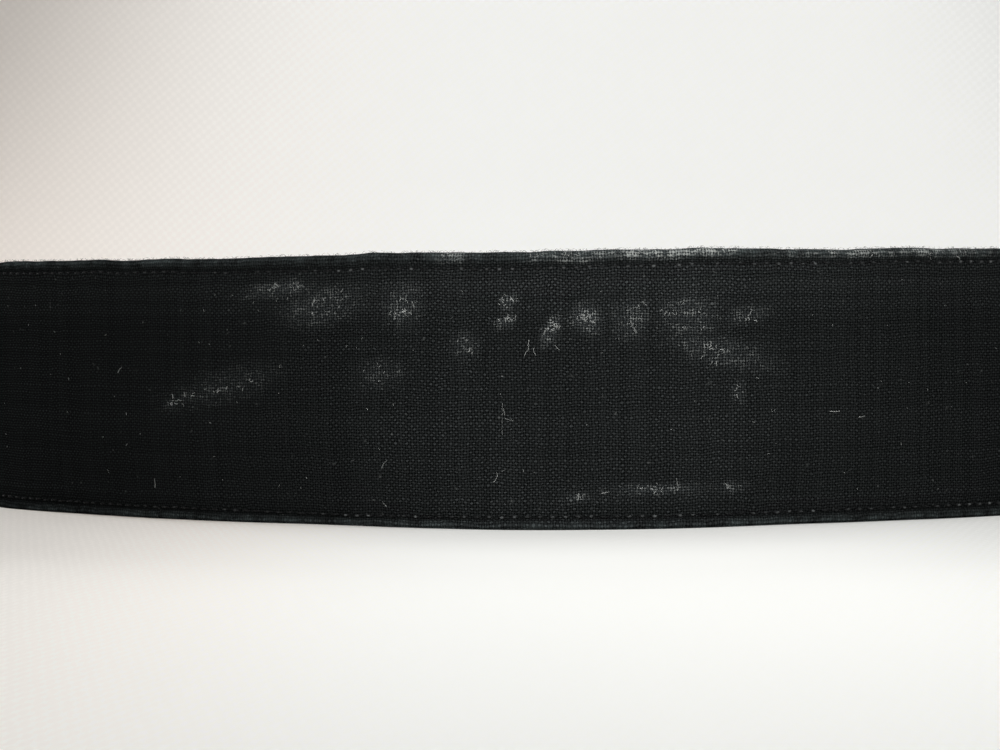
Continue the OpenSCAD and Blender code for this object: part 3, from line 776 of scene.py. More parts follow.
def sewBand():
    pitch, inset, deep = outerCloth["stitchPitch"], outerCloth["stitchIn"], sewing["backDepth"]
    count = round((bandRight - bandLeft - 2 * inset) / pitch)
    path = [(bandLeft + pitch, 0), (bandLeft + pitch * (1 + count), 0)]
    for which, z in (("upper", ring["height"] - inset), ("lower", inset)):
        name = "topstitch_" + which
        row = sewLine(name, path, pitch, lambda s: seamDip(s, 0.0), heightAt=lambda s: seamHeight(s, which))
        back = sewLine(name + "Back", path, pitch, lambda s: deep, inward=True, heightAt=lambda s: z)
        dress(bendRound(joinInto(row, [back])), "band", thread, [name], smooth=60)
    left, right, past = sewing["window"]
    window = boxPath(alongRing(left), alongRing(right), innerCloth["windowHalf"] + past)
    near, far, half = sewing["box"]
    boxes = {"left": boxPath(bandLeft + near, bandLeft + far, half),
             "right": boxPath(bandRight - far, bandRight - near, half)}
    pitch, deep = sewing["windowPitch"], sewing["windowDepth"]
    rows = [sewLine("zip_topstitch", window, pitch, lambda s: deep, inward=True)]
    pitch = sewing["boxPitch"]
    rows += [sewLine("box_stitch_" + end, path, pitch, lambda s: 0.0) for end, path in boxes.items()]
    for row, name in zip(rows, ("zip_topstitch", "box_stitch_left", "box_stitch_right")):
        dress(bendRound(row), "band", thread, [name], smooth=60)


thread = threadMaterial()
sewBand()
print("sewing done")

# Lint: stray fibres on the face and fuzz along the edges
# each fibre: place along the belt, height, length, direction in degrees, curl, thickness
lint = {"fibres": [(-12.9, 34.1, 3.4, -35, 5.6, 0.05), (-12.0, 32.6, 1.6, -100, 3.0, 0.045),
                   (-17.6, 22.8, 5.6, -92, 0.25, 0.022), (-17.2, 20.0, 1.6, -20, 0.6, 0.03),
                   (-40.0, 10.9, 1.8, 50, 2.2, 0.05), (-39.4, 3.6, 1.6, 70, 1.4, 0.055),
                   (-19.4, 8.7, 2.0, 30, 2.4, 0.05), (13.4, 6.9, 2.2, 65, 1.8, 0.05),
                   (41.7, 20.6, 2.0, -8, 0.3, 0.07), (47.4, 19.4, 1.2, 10, 0.6, 0.06),
                   (-95.8, 27.9, 1.6, 60, 1.0, 0.05), (-0.1, 6.6, 1.3, 10, 0.2, 0.07),
                   (-8.2, 33.0, 1.2, -60, 0.8, 0.045), (-17.2, 20.6, 1.3, 90, 1.4, 0.045),
                   (-88.0, 6.1, 1.8, 60, 1.2, 0.05)], "steps": 9, "arch": 0.12, "specks": 140,
        "speckLength": (0.15, 0.5), "speckThick": 0.035, "tufts": 0.30, "spread": 0.42, "perTuft": 7,
        "curlLength": (0.25, 0.95), "curlThick": (0.035, 0.05, 0.07), "fuzz": 2000,
        "fuzzLength": (0.20, 0.75), "fuzzThick": 0.022, "pale": (0.62, 0.64, 0.62, 1),
        "black": (0.05, 0.055, 0.06, 1)}


def lintMaterial(name, colour):
    material, tree, place, flat = newMaterial(name, roughness=0.9, specular=0.05)
    dull = tuple(0.45 * part for part in colour[:3]) + (1,)
    return finish(material, blendColour(noise(place, 700.0), dull, colour))


def fibreCurve(strands, thick, name):
    # thin round strands through the points, as one mesh
    curve = bpy.data.curves.new(name, "CURVE")
    curve.dimensions, curve.bevel_depth, curve.bevel_resolution, curve.use_fill_caps = "3D", thick, 0, True
    for points in strands:
        strand = curve.splines.new("POLY")
        strand.points.add(len(points) - 1)
        for n, point in enumerate(points):
            strand.points[n].co = (*point, 1)
            strand.points[n].radius = 1 - 0.5 * n / len(points)
    newPiece(name, curve)
    bpy.ops.object.convert(target="MESH")
    return bpy.context.object


def strayFibres(chance):
    # strands on the face, each with its thickness
    steps = lint["steps"]
    for s, z, length, direction, curl, thick in lint["fibres"]:
        a, points = math.radians(direction), []
        for n in range(steps + 1):
            points.append((s, -0.04 - lint["arch"] * math.sin(math.pi * n / steps), z))
            a += curl * chance.uniform(-0.6, 1.0) * 2 / steps
            s += math.cos(a) * length / steps
            z += math.sin(a) * length / steps
        yield thick, points
    for n in range(lint["specks"]):
        s, z, a = chance.uniform(-150, 150), chance.uniform(5, 45), chance.uniform(0, 3.14)
        size = chance.uniform(*lint["speckLength"])
        yield lint["speckThick"], [(s, -0.03, z), (s + size * math.cos(a), -0.05, z + size * math.sin(a))]
    for place, height, halfLength, halfHeight, slant, strength in chalkRubs:
        # a rub leaves a few tufts, each of some short curls
        turn = math.radians(slant)
        for tuft in range(2 + int(halfLength * halfHeight * lint["tufts"])):
            x, y = chance.gauss(0, lint["spread"]) * halfLength, chance.gauss(0, lint["spread"]) * halfHeight
            tuftS = place + x * math.cos(turn) - y * math.sin(turn)
            tuftZ = height + x * math.sin(turn) + y * math.cos(turn)
            for n in range(int(lint["perTuft"] * strength ** 1.5) + 1):
                s, z = tuftS + chance.gauss(0, 0.5), tuftZ + chance.gauss(0, 0.35)
                size, a, points = chance.uniform(*lint["curlLength"]), turn + chance.gauss(0.5, 0.9), []
                for step in range(5):
                    points.append((s, -0.02 - 0.05 * (step % 2), min(z, 49.95)))
                    a += chance.uniform(-1.1, 1.1)
                    s, z = s + math.cos(a) * size / 4, z + math.sin(a) * size / 4
                yield chance.choice(lint["curlThick"]), points


def edgeFuzz(chance):
    # short curved hairs on the folds, most of them on the upper one
    for n in range(lint["fuzz"]):
        upper = n % 5 != 0
        s = chance.uniform(bandLeft + 4, bandRight - 4) if n % 2 else chance.uniform(-135, 85)
        depth, slope = chance.uniform(0.4, 2.0), chance.uniform(-1.2, 1.2)
        tall = chance.uniform(*lint["fuzzLength"])
        base, rise, out = (49.9, tall, chance.uniform(-0.4, 0.3)) if upper else (0.9, -0.3 * tall, -0.5)
        yield [(s + slope * tall * t * t, depth + out * tall * t, base + rise * t * (1 - 0.3 * t * t))
               for t in (0, 0.35, 0.7, 1)]


def makeLint():
    chance, groups = random.Random(31), {}
    for thick, points in strayFibres(chance):
        groups.setdefault(thick, []).append(points)
    pieces = [fibreCurve(strands, thick, "lint") for thick, strands in groups.items()]
    fluff = joinInto(pieces[0], pieces[1:])
    fluff.name = fluff.data.name = "lint"
    dress(bendRound(fluff), "band", lintMaterial("paleLint", lint["pale"]), smooth=0)
    fuzz = fibreCurve(list(edgeFuzz(chance)), lint["fuzzThick"], "edge_fuzz")
    dress(bendRound(fuzz), "band", lintMaterial("darkFuzz", lint["black"]), smooth=0)


makeLint()
print("lint done")

# The zip
zipParts = {"tapeDepth": 4.6, "tapeThick": 0.5, "tapeHeight": 12.0, "gap": 1.2, "past": 8.8,
            "coilDepth": 5.5, "turns": 366, "wire": 0.27, "swollen": 1.18, "sides": 5, "leg": (0.75, 2.85),
            "head": 0.36, "fromMiddle": 0.25, "tapeDark": (0.006, 0.006, 0.007, 1),
            "tapeLight": (0.062, 0.065, 0.070, 1), "nylonDark": (0.012, 0.012, 0.013, 1),
            "nylonLight": (0.030, 0.030, 0.032, 1)}


def tapeMaterial():
    material, tree, place, flat = newMaterial("zipTape", roughness=0.7, specular=0.15, sheen=0.05)
    along, across, z = partsOf(flat)
    ribs = calc("PINGPONG", along * 1.7 + calc("PINGPONG", across, 1.1) * 1.6, 0.5)
    height = ribs + calc("PINGPONG", across * 1.8, 0.5) * 0.6
    # painted shade: darker in the low parts of the weave, lighter on the ribs
    shade = blendColour(height, zipParts["tapeDark"], zipParts["tapeLight"])
    return finish(material, shade, height, 0.00012)


def nylonMaterial():
    material, tree, place, flat = newMaterial("nylonCoil", roughness=0.38, specular=0.45)
    return finish(material, blendColour(noise(place, 900.0), zipParts["nylonDark"], zipParts["nylonLight"]))


def makeTape(name, low):
    high, past, depth = zipParts["tapeHeight"], zipParts["past"], zipParts["tapeDepth"]
    stations = np.linspace(alongRing(zipRun["left"]) - past, alongRing(zipRun["right"]) + past, 420)
    tape = clothGrid(name, stations, [(depth, low + step) for step in np.linspace(0, high, 7)])
    thicken(bendRound(tape), zipParts["tapeThick"] * mm)
    dress(tape, "band", zipTape, [name])


def makeCoil(name, side):
    # one turn of the coil: a back leg, the swollen head, a front leg; then an array of it
    turns, wire, around = zipParts["turns"], zipParts["wire"], zipParts["sides"]
    near, far = zipParts["leg"]
    pitch = (alongRing(zipRun["right"]) - alongRing(zipRun["left"])) / (turns + 1)
    path = [(0.0, -wire, far), (0.02, -wire, near), (pitch * 0.28, 0.0, zipParts["head"]),
            (pitch * 0.5, wire, near), (pitch * 0.55, wire, far), (pitch, -wire, far)]
    points, faces = [], []
    for n, place in enumerate(path):
        before, after = Vector(path[max(n - 1, 0)]), Vector(path[min(n + 1, len(path) - 1)])
        way = (after - before).normalized()
        one = way.cross(Vector((1, 0.1, 0.05))).normalized()
        two = way.cross(one)
        size = wire * (zipParts["swollen"] if n == 2 else 1.0)
        for k in range(around):
            a, k2 = 6.2832 * k / around, (k + 1) % around
            points.append(tuple(Vector(place) + (one * math.cos(a) + two * math.sin(a)) * size))
            if n:
                old, new = (n - 1) * around, n * around
                faces.append((old + k, old + k2, new + k2, new + k))
    coil = meshPiece(name, points, faces)
    modify(coil, "ARRAY", count=turns, use_relative_offset=False, use_constant_offset=True,
           constant_offset_displace=(pitch, 0, 0))
    co = readPoints(coil)
    co[:, 0] += alongRing(zipRun["left"]) + pitch * (0.5 if side > 0 else 0.0)
    co[:, 1] += zipParts["coilDepth"]
    co[:, 2] = middle + side * (co[:, 2] + zipParts["fromMiddle"])
    writePoints(coil, co)
    dress(bendRound(turnOutwards(coil)), "band", nylon, [name], smooth=80)


zipTape, nylon = tapeMaterial(), nylonMaterial()
makeTape("zip_tape_upper", middle + zipParts["gap"] / 2)
makeTape("zip_tape_lower", middle - zipParts["gap"] / 2 - zipParts["tapeHeight"])
makeCoil("zip_coil_upper", 1)
makeCoil("zip_coil_lower", -1)
print("zip tapes and coils done")


# Stiff pieces are made of blocks and rods, in mm
def about(at, half):
    return at - half, at + half


def beside(side, near, far, at=0.0):
    # a stretch on one side of a place, from its lower to its upper end
    return sorted((at + side * near, at + side * far))


def block(name, xs, ys, zs, roundness=0.25, segments=3, corner=0.0):
    # a box from its three stretches, with its corners and edges eased
    deselect()
    size = [high - low for low, high in (xs, ys, zs)]
    place = [(high + low) / 2 for low, high in (xs, ys, zs)]
    bpy.ops.mesh.primitive_cube_add(size=1, location=place, scale=size)
    bpy.ops.object.transform_apply(location=True, rotation=True, scale=True)
    box = called(name)
    if corner:
        # round the corners seen from the widest side first
        thin = size.index(min(size))
        bpy.ops.object.mode_set(mode="EDIT")
        bpy.ops.mesh.select_mode(type="EDGE")
        bpy.ops.mesh.select_all(action="DESELECT")
        bpy.ops.object.mode_set(mode="OBJECT")
        for edge in box.data.edges:
            a, b = (box.data.vertices[n].co for n in edge.vertices)
            edge.select = abs(a[thin] - b[thin]) > 1e-6
        bpy.ops.object.mode_set(mode="EDIT")
        bpy.ops.mesh.bevel(offset=corner, segments=6, affect="EDGES")
        bpy.ops.mesh.select_mode(type="VERT")
        bpy.ops.object.mode_set(mode="OBJECT")
    return ease(box, roundness, segments) if roundness else box


def rod(name, start, end, radius, sides=32, roundness=0.0):
    deselect()
    start, end = Vector(start), Vector(end)
    bpy.ops.mesh.primitive_cylinder_add(vertices=sides, radius=radius, depth=(end - start).length)
    bar = called(name)
    bar.rotation_euler = (end - start).to_track_quat("Z", "Y").to_euler()
    bar.location = (start + end) / 2
    bpy.ops.object.transform_apply(location=True, rotation=True, scale=True)
    return ease(bar, roundness, 2, 60) if roundness else bar


def cutOut(obj, tools, operation="DIFFERENCE"):
    for tool in tools:
        modify(obj, "BOOLEAN", operation=operation, solver="EXACT", object=tool)
        bpy.data.objects.remove(tool)
    return obj


def setInPlace(obj, matrix):
    # mm to metres, at its place in the belt
    obj.data.transform(Matrix.Scale(mm, 4) @ matrix)
    obj.data.update()
    return obj


def setOnRing(obj, azimuth):
    # stiff pieces keep their shape where they sit on the ring
    angle = math.radians(azimuth)
    inward = Vector((-math.cos(angle), -math.sin(angle), 0))
    along = Vector((-math.sin(angle), math.cos(angle), 0))
    matrix = Matrix((along, inward, (0, 0, 1))).transposed().to_4x4()
    matrix.translation = -inward * ring["radius"]
    return setInPlace(obj, matrix)


# The zip's metal
metalParts = {"slider": 311.188, "half": 5.5, "plate": (6.4, 7.2, 4.1), "heel": 0.16,
              "flange": (5.1, 6.6, 3.3, 4.05), "flangeAlong": (-4.3, 3.9), "lug": (6.9, 2.2, 3.1, 1.5),
              "back": (3.25, 4.05, 3.3), "post": (3.7, 6.7, 2.0, 0.3), "pin": 9.16, "pinHalf": 3.05,
              "pinRadius": 0.8, "dull": (0.20, 0.20, 0.205, 1), "bright": (0.30, 0.298, 0.29, 1)}
pullTab = {"plate": (-24.0, -4.0, 3.0), "thick": 0.6, "well": (-15.5, -7.0, 1.7), "wellDeep": 0.22,
           "hole": (3, 1.4), "neck": (-5.2, -1.1, 1.95), "eye": (1.99, 1.62, 0.86)}
zipStop = {"along": (0.05, 2.75), "depth": (4.92, 6.28), "half": 3.0, "groove": (1.15, 1.65),
           "grooveDepth": (6.1, 6.6), "start": 1.0516, "end": 0.0701}


def metalMaterial():
    material, tree, place, flat = newMaterial("darkMetal", roughness=0.34, specular=0.5, metallic=1.0)
    wear = groupNode(tree, wearGroup, Place=place, Size=6.0)
    brushed = noise(stretched(place, (300, 300, 4000)), 1.0, 3.0, 0.6)
    shade = blendColour(wear["Patches"], metalParts["dull"], metalParts["bright"])
    return finish(material, shade, brushed, 0.000012, Roughness=band01(brushed, 0.2, 0.8, 0.26, 0.46))


def makeSlider():
    half, pin = metalParts["half"], metalParts["pin"]
    front, outer, high = metalParts["plate"]
    body = block("slider_body", about(0, half), (front, outer), about(middle, high), 0.22, corner=2.2)
    co = readPoints(body)
    # the plate narrows towards its heel
    co[:, 2] = middle + (co[:, 2] - middle) * (1 - metalParts["heel"] * np.clip(co[:, 0] / half, 0, 1) ** 2)
    writePoints(body, co)
    parts = []
    for side in (-1, 1):
        low, high, near, far = metalParts["flange"]
        flange = beside(side, near, far, middle)
        parts.append(block("flange", metalParts["flangeAlong"], (low, high), flange, 0.15, 2))
        low, near, far, long = metalParts["lug"]
        a, b = beside(side, near, far, middle)
        lug = block("lug", about(0, long), (low, pin), (a, b), 0.0)
        cutOut(lug, [rod("lugCap", (0, pin, a), (0, pin, b), long)], "UNION")
        parts.append(ease(lug, 0.15, 2, 50))
    low, high, wide = metalParts["back"]
    parts.append(block("backPlate", about(0, half - 0.6), (low, high), about(middle, wide), 0.2, corner=1.6))
    low, high, long, wide = metalParts["post"]
    parts.append(block("post", about(0, long), (low, high), about(middle, wide), 0.1, 2))
    a, b = about(middle, metalParts["pinHalf"])
    parts.append(rod("pin", (0, pin, a), (0, pin, b), metalParts["pinRadius"], 24, 0.12))
    body = joinInto(body, parts)
    dress(setOnRing(body, metalParts["slider"]), "slider", metal, ["slider_body"], smooth=35)


def makePull():
    pin, thick = metalParts["pin"], pullTab["thick"]
    tip, heel, wide = pullTab["plate"]
    tab = block("pull_tab", (tip, heel), about(pin, thick), about(middle, wide), 0.0, corner=2.0)
    low, high, wide = pullTab["well"]
    fromHole, hole = pullTab["hole"]
    tools = [rod("hole", (tip + fromHole, pin - 2, middle), (tip + fromHole, pin + 2, middle), hole, 32)]
    for side in (1, -1):
        well = beside(side, thick - pullTab["wellDeep"], thick + 1, pin)
        tools.append(block("well", (low, high), well, about(middle, wide), 0.0, corner=1.2))
    ease(cutOut(tab, tools), 0.16, 2, 35)
    low, high, wide = pullTab["neck"]
    neck = block("neck", (low, high), about(pin, thick - 0.05), about(middle, wide), 0.12, 2)
    wide, outer, inner = pullTab["eye"]
    eye = rod("eye", (0, pin, middle - wide), (0, pin, middle + wide), outer, 40)
    cutOut(eye, [rod("hollow", (0, pin, middle - 3), (0, pin, middle + 3), inner, 40)])
    joinInto(tab, [neck, ease(eye, 0.12, 2, 60)])
    dress(setOnRing(tab, metalParts["slider"]), "pull", metal, ["pull_tab"], smooth=35)


def makeStop(name, azimuth):
    half = zipStop["half"]
    stop = block(name, zipStop["along"], zipStop["depth"], about(middle, half), 0.3)
    groove = block("groove", zipStop["groove"], zipStop["grooveDepth"], about(middle, half + 0.2), 0.0)
    cutOut(stop, [groove])
    dress(setOnRing(stop, azimuth), "band", metal, [name], smooth=35)


metal = metalMaterial()
makeSlider()
makePull()
makeStop("zip_start_stop", zipRun["left"] - zipStop["start"])
makeStop("zip_end_stop", zipRun["right"] + zipStop["end"])
print("slider, pull and stops done")

# Webbing
webbing = {"width": 25.0, "thick": 1.4, "tailShift": 1.6, "loop": 2.4, "reach": 10.0, "rib": 1.25,
           "inside": 30, "hinge": 1.753, "bend": 1.2, "dark": (0.0035, 0.0037, 0.004, 1),
           "light": (0.026, 0.028, 0.030, 1), "rub": (0.075, 0.078, 0.08, 1),
          # length to the bar, length of the tail folded back, and of its hem
          "short": (40, 26, 0), "long": (130, 84, 8),
          # how far out, start, end and height of each box of stitches
          "shortBox": (2.3, 12, 24, 18), "tailBox": (3.72, 77.6, 82.4, 21.6)}
keeper = {"halfThick": 2.0, "halfHigh": 13.3, "corner": 1.2, "from": 56, "to": 68, "thick": 1.0, "rib": 0.7,
          "light": (0.018, 0.019, 0.021, 1)}


def webbingMaterial(name, rib, light):
    material, tree, place, flat = newMaterial(name, roughness=0.6, specular=0.2, sheen=0.05)
    along, across, z = partsOf(flat)
    # heavy ribs across, each held down by the warp in a basket of fine threads
    cross = along / rib
    shifted = across / (rib * 0.8) + calc("FLOOR", cross) * 0.5
    height = (1.0 - (fromMiddle(cross) * 2.0) ** 3.0) * (1.0 - (fromMiddle(shifted) * 2.0) ** 3.0)
    height = height + calc("PINGPONG", across * 5.0, 0.5) * 0.25
    # painted shade: darker between the ribs and threads, lighter on their tops
    shade = blendColour(height * 0.85, webbing["dark"], light)
    wear = groupNode(tree, wearGroup, Place=place, Size=1.4)
    edge = webbing["width"] / 2
    wornAndLit = band01(calc("ABSOLUTE", across - edge), edge - 1.1, edge) * wear["Patches"] * 0.6
    return finish(material, blendColour(wornAndLit, shade, webbing["rub"]), height, 0.00022)


def strapPath(length, tail, hem):
    # centre line in mm, from the sewn-in end, out to the bar, round it and back along the tail
    r, shift, bar, loop = ring["midRadius"], webbing["tailShift"], ring["bar"], webbing["loop"]
    reach, end = webbing["reach"] / r, -tail / r

    def onRing(radius, start, stop):
        return polar(radius, np.linspace(start, stop, max(2, int(abs(stop - start) * r / 2))))

    def meets(outward, side):
        x, y = (r + outward) * math.cos(reach) - bar, -(r + outward) * math.sin(reach)
        return math.atan2(y, x) + side * math.acos(loop / math.hypot(x, y))

    turn = np.linspace(meets(0, -1) + math.tau, meets(shift, 1), 22)
    path = [onRing(r, -(length + webbing["inside"]) / r, -reach), polar(loop, turn) + (bar, 0),
            onRing(r + shift, -reach, end)]
    if hem:
        fold, t = webbing["thick"] / 2 + 0.02, np.linspace(0.5, 2.64, 5)
        turned = polar(r + shift + fold - fold * np.cos(t), end)
        path.append(turned + np.outer(fold * np.sin(t), (math.sin(end), -math.cos(end))))
        path.append(onRing(r + shift + 2 * fold, end, -(tail - hem) / r))
    return np.concatenate(path)


def barFrame(points, half):
    # bench points beside a bar to the world: the plug's strap turns on, the socket's is its mirror image
    x, y = points.T
    if half == "socket":
        return np.stack([y, x], 1)
    a = math.radians(ring["plug"])
    return np.stack([x * math.cos(a) - y * math.sin(a), x * math.sin(a) + y * math.cos(a)], 1)


def setOnStrap(obj, radius, half):
    # points of (length back from the bar, distance in from the radius, height) to the strap's curve
    s, depth, z = readPoints(obj).T
    world = barFrame(polar(radius - depth, -s / ring["midRadius"]), half)
    writePoints(obj, np.column_stack([world, z]) * mm)
    return turnOutwards(obj, merge=0.00001)


def makeStrap(name, half, body, tab, length, tail, hem):
    path = strapPath(length, tail, hem)
    girth, world = girthOf(path), barFrame(path, half)
    strap = clothGrid(name, girth, [(0, z) for z in np.linspace(*about(middle, webbing["width"] / 2), 15)])
    co = readPoints(strap)
    column = np.searchsorted(girth, co[:, 0] - 0.005).clip(0, len(girth) - 1)
    writePoints(strap, np.column_stack([world[column], co[:, 2]]) * mm)
    if half == "socket":
        strap.data.flip_normals()
    thicken(strap, (webbing["thick"] - 0.02) * mm)
    ease(strap, 0.4 * mm, 3, 60)
    dress(strap, None, webbingCloth, [name, tab], smooth=50)
    # the points either side of where it leaves the band, where it would bend, are worked out but not used
    hinge, side = (ring["leftEnd"], 1) if half == "socket" else (ring["rightEnd"], -1)
    ends = []
    for turn in (webbing["bend"], -webbing["bend"]):
        angle = math.radians(hinge + side * (turn - webbing["hinge"]))
        ends.append(Vector((*polar(ring["midRadius"], angle), middle)) * mm)
    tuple(ends[0])
    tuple(ends[1])
    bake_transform(strap)


def sewStrap(name, half, body, outward, start, end, height):
    # a box of stitches on the strap's outer side
    row = sewLine(name, boxPath(start, end, height / 2), sewing["strapPitch"], lambda s: 0.0)
    dress(setOnStrap(row, ring["midRadius"] + outward, half), body, thread, [name], smooth=60)


def makeKeeper():
    # elastic loop round both plies of the long strap
    corner = keeper["corner"]
    x, z = keeper["halfThick"] - corner, keeper["halfHigh"] - corner
    outline = []
    for centreX, centreZ, first in ((x, z, 0), (-x, z, 90), (-x, -z, 180), (x, -z, 270)):
        for angle in np.radians(np.linspace(first, first + 90, 5)):
            outline.append((centreX + corner * math.cos(angle), middle + centreZ + corner * math.sin(angle)))
    rows = []
    for out, z in outline + outline[:1]:
        if rows and abs(z - rows[-1][1]) > 4:
            rows += [(-out, between) for between in np.linspace(rows[-1][1], z, 9)[1:-1]]
        rows.append((-out, z))
    loop = clothGrid("elastic_keeper", np.linspace(keeper["from"], keeper["to"], 13), rows)
    thicken(setOnStrap(loop, ring["bar"], "plug"), keeper["thick"] * mm)
    ease(loop, 0.3 * mm, 2, 60)
    elastic = webbingMaterial("blackElastic", keeper["rib"], keeper["light"])
    dress(loop, "keeper", elastic, ["elastic_keeper"], smooth=50)


webbingCloth = webbingMaterial("blackWebbing", webbing["rib"], webbing["light"])
makeStrap("strap_short", "socket", "short_strap", "webbing_tab_left", *webbing["short"])
makeStrap("strap_long", "plug", "long_strap", "webbing_tab_right", *webbing["long"])
sewStrap("strap_short_stitch", "socket", "short_strap", *webbing["shortBox"])
sewStrap("tail_stitch", "plug", "long_strap", *webbing["tailBox"])
makeKeeper()
print("straps done")

# The buckle, on a bench frame: X from the bar to the tip, Y up, Z outwards
buckle = {"wide": 16.5, "thick": 4.5, "corner": 2.4, "bodyFrom": 5.0, "socketEnd": 32.0,
          "shoulderEnd": 13.0, "ear": (13.3, 16.45), "earHalf": 2.8, "earEnd": 7.4, "bar": 1.6,
          "recess": 0.55,
          "window": (13.0, 22.0), "mouthWide": 12.9, "mouthThick": 2.9,
          "grips": (13.0, 15.2, 17.4, 19.6, 21.8), "gripHalf": 0.55, "gripWide": 7.6, "prongZ": 11.4,
          "prongHalf": 2.5, "arm": 1.1, "armLen": 21.0, "catch": 2.4, "guide": 2, "rootRadius": 1.3,
          "black": (0.010, 0.010, 0.011, 1), "wornAndLit": (0.020, 0.020, 0.021, 1),
          # along, half width and corner of each half's panels, and the places of a catch's slopes
          "socketPanel": ((9.6, 25.2), 10.6, 2.6), "plugPanel": ((7.3, 10.9), 11.4, 1.4),
          "mouth": (8, 34), "catchAt": (10.3, 14.5, 18.7), "windowWide": 20, "edge": 1.9}


def plasticMaterial():
    material, tree, place, flat = newMaterial("mouldedBlack", roughness=0.42, specular=0.4)
    patches = groupNode(tree, wearGroup, Place=place, Size=3.0)["Patches"]
    shade = blendColour(patches, buckle["black"], buckle["wornAndLit"])
    return finish(material, shade, noise(place, 2600.0, 3.0, 0.6), 0.00002,
                  Roughness=band01(patches, 0.0, 1.0, 0.38, 0.52))


def setOnBench(obj, half):
    if half == "socket":
        bench = Matrix(((1, 0, 0, 0), (0, 0, 1, ring["bar"]), (0, -1, 0, middle), (0, 0, 0, 1)))
        return setInPlace(obj, bench)
    bench = Matrix(((0, 0, 1, ring["bar"]), (1, 0, 0, 0), (0, 1, 0, middle), (0, 0, 0, 1)))
    return setInPlace(obj, Matrix.Rotation(math.radians(ring["plug"]), 4, "Z") @ bench)


def shell(name, end, along, across, corner):
    # a moulded block with round corners and rolled edges, and a shallow panel on both faces
    wide, thick, start = buckle["wide"], buckle["thick"], buckle["bodyFrom"]
    body = block(name, (start, end), about(0, wide), about(0, thick), 0.0, corner=buckle["corner"])
    ease(body, buckle["edge"], 5, 50)
    for side in (-1, 1):
        deep = beside(side, thick - buckle["recess"], 6)
        cutOut(body, [block("panel", along, about(0, across), deep, 0.22, 2, corner)])
    return body


def cheeks():
    # two ears and the bar between them, each with its own eased edges
    made, half = [], buckle["earHalf"]
    for side in (-1, 1):
        a, b = beside(side, *buckle["ear"])
        ear = block("ear", (0, buckle["earEnd"]), (a, b), about(0, half), 0.0)
        made.append(ease(cutOut(ear, [rod("earEnd", (0, a, 0), (0, b, 0), half, 48)], "UNION"), 0.45, 3, 60))
    return made + [rod("bar", (0, -14, 0), (0, 14, 0), buckle["bar"])]


def grips():
    # raised ribs that stand in the panels of both faces
    made = []
    for x in buckle["grips"]:
        for side in (-1, 1):
            high = beside(side, buckle["thick"] - buckle["recess"] - 0.3, buckle["thick"] - 0.04)
            long, wide = about(x, buckle["gripHalf"]), about(0, buckle["gripWide"])
            made.append(block("grip", long, wide, high, 0.28))
    return made


def makeSocket():
    body = shell("buckle_socket", buckle["socketEnd"], *buckle["socketPanel"])
    wide, thick = buckle["mouthWide"], buckle["mouthThick"]
    mouth = block("mouth", buckle["mouth"], about(0, wide), about(0, thick), 0.0)
    wide, thick = buckle["windowWide"], thick - 0.05
    cutOut(body, [mouth, block("windows", buckle["window"], about(0, wide), about(0, thick), 0.0)])
    joinInto(body, cheeks() + grips())
    dress(setOnBench(body, "socket"), "socket", plastic, ["buckle_socket"], smooth=35)


def makePlug():
    end, half, guide = buckle["shoulderEnd"], buckle["prongHalf"], buckle["guide"]
    body = shell("buckle_plug", end, *buckle["plugPanel"])
    roots = [side * buckle["prongZ"] for side in (-1, 1)]
    radius = buckle["rootRadius"] + 0.08
    cutOut(body, [rod("root", (end, root, -6), (end, root, 6), radius) for root in roots])
    rib = block("rib", (end - 2, end + 20), about(0, guide), about(0, half), 0.0, corner=1.0)
    joinInto(body, cheeks() + [ease(rib, 0.45, 3, 50)])
    dress(setOnBench(body, "plug"), "plug", plastic, ["buckle_plug"], smooth=35)


def makeProng(name, side, body):
    x0, y0, half = buckle["shoulderEnd"], side * buckle["prongZ"], buckle["prongHalf"]
    arm, end, high = buckle["arm"], buckle["armLen"], buckle["catch"]
    back, top, slope = buckle["catchAt"]
    outline = [(0, -arm), (end, -arm), (end, 0), (slope, arm + high / 2), (top, arm + high),
               (back, arm + high), (back, arm), (0, arm)][::side]
    points = [(x0 + x, y0 + side * y, -half) for x, y in outline]
    prong = turnOutwards(meshPiece(name, points, [tuple(range(len(points)))]), extrude=2 * half)
    ease(prong, 0.42, 3, 24)
    joinInto(prong, [rod("root", (x0, y0, -half), (x0, y0, half), buckle["rootRadius"], 32, 0.3)])
    dress(setOnBench(prong, "plug"), body, plastic, [name], smooth=35)


plastic = plasticMaterial()
makeSocket()
makePlug()
makeProng("prong_upper", 1, "upper_prong")
makeProng("prong_lower", -1, "lower_prong")
print("buckle done")

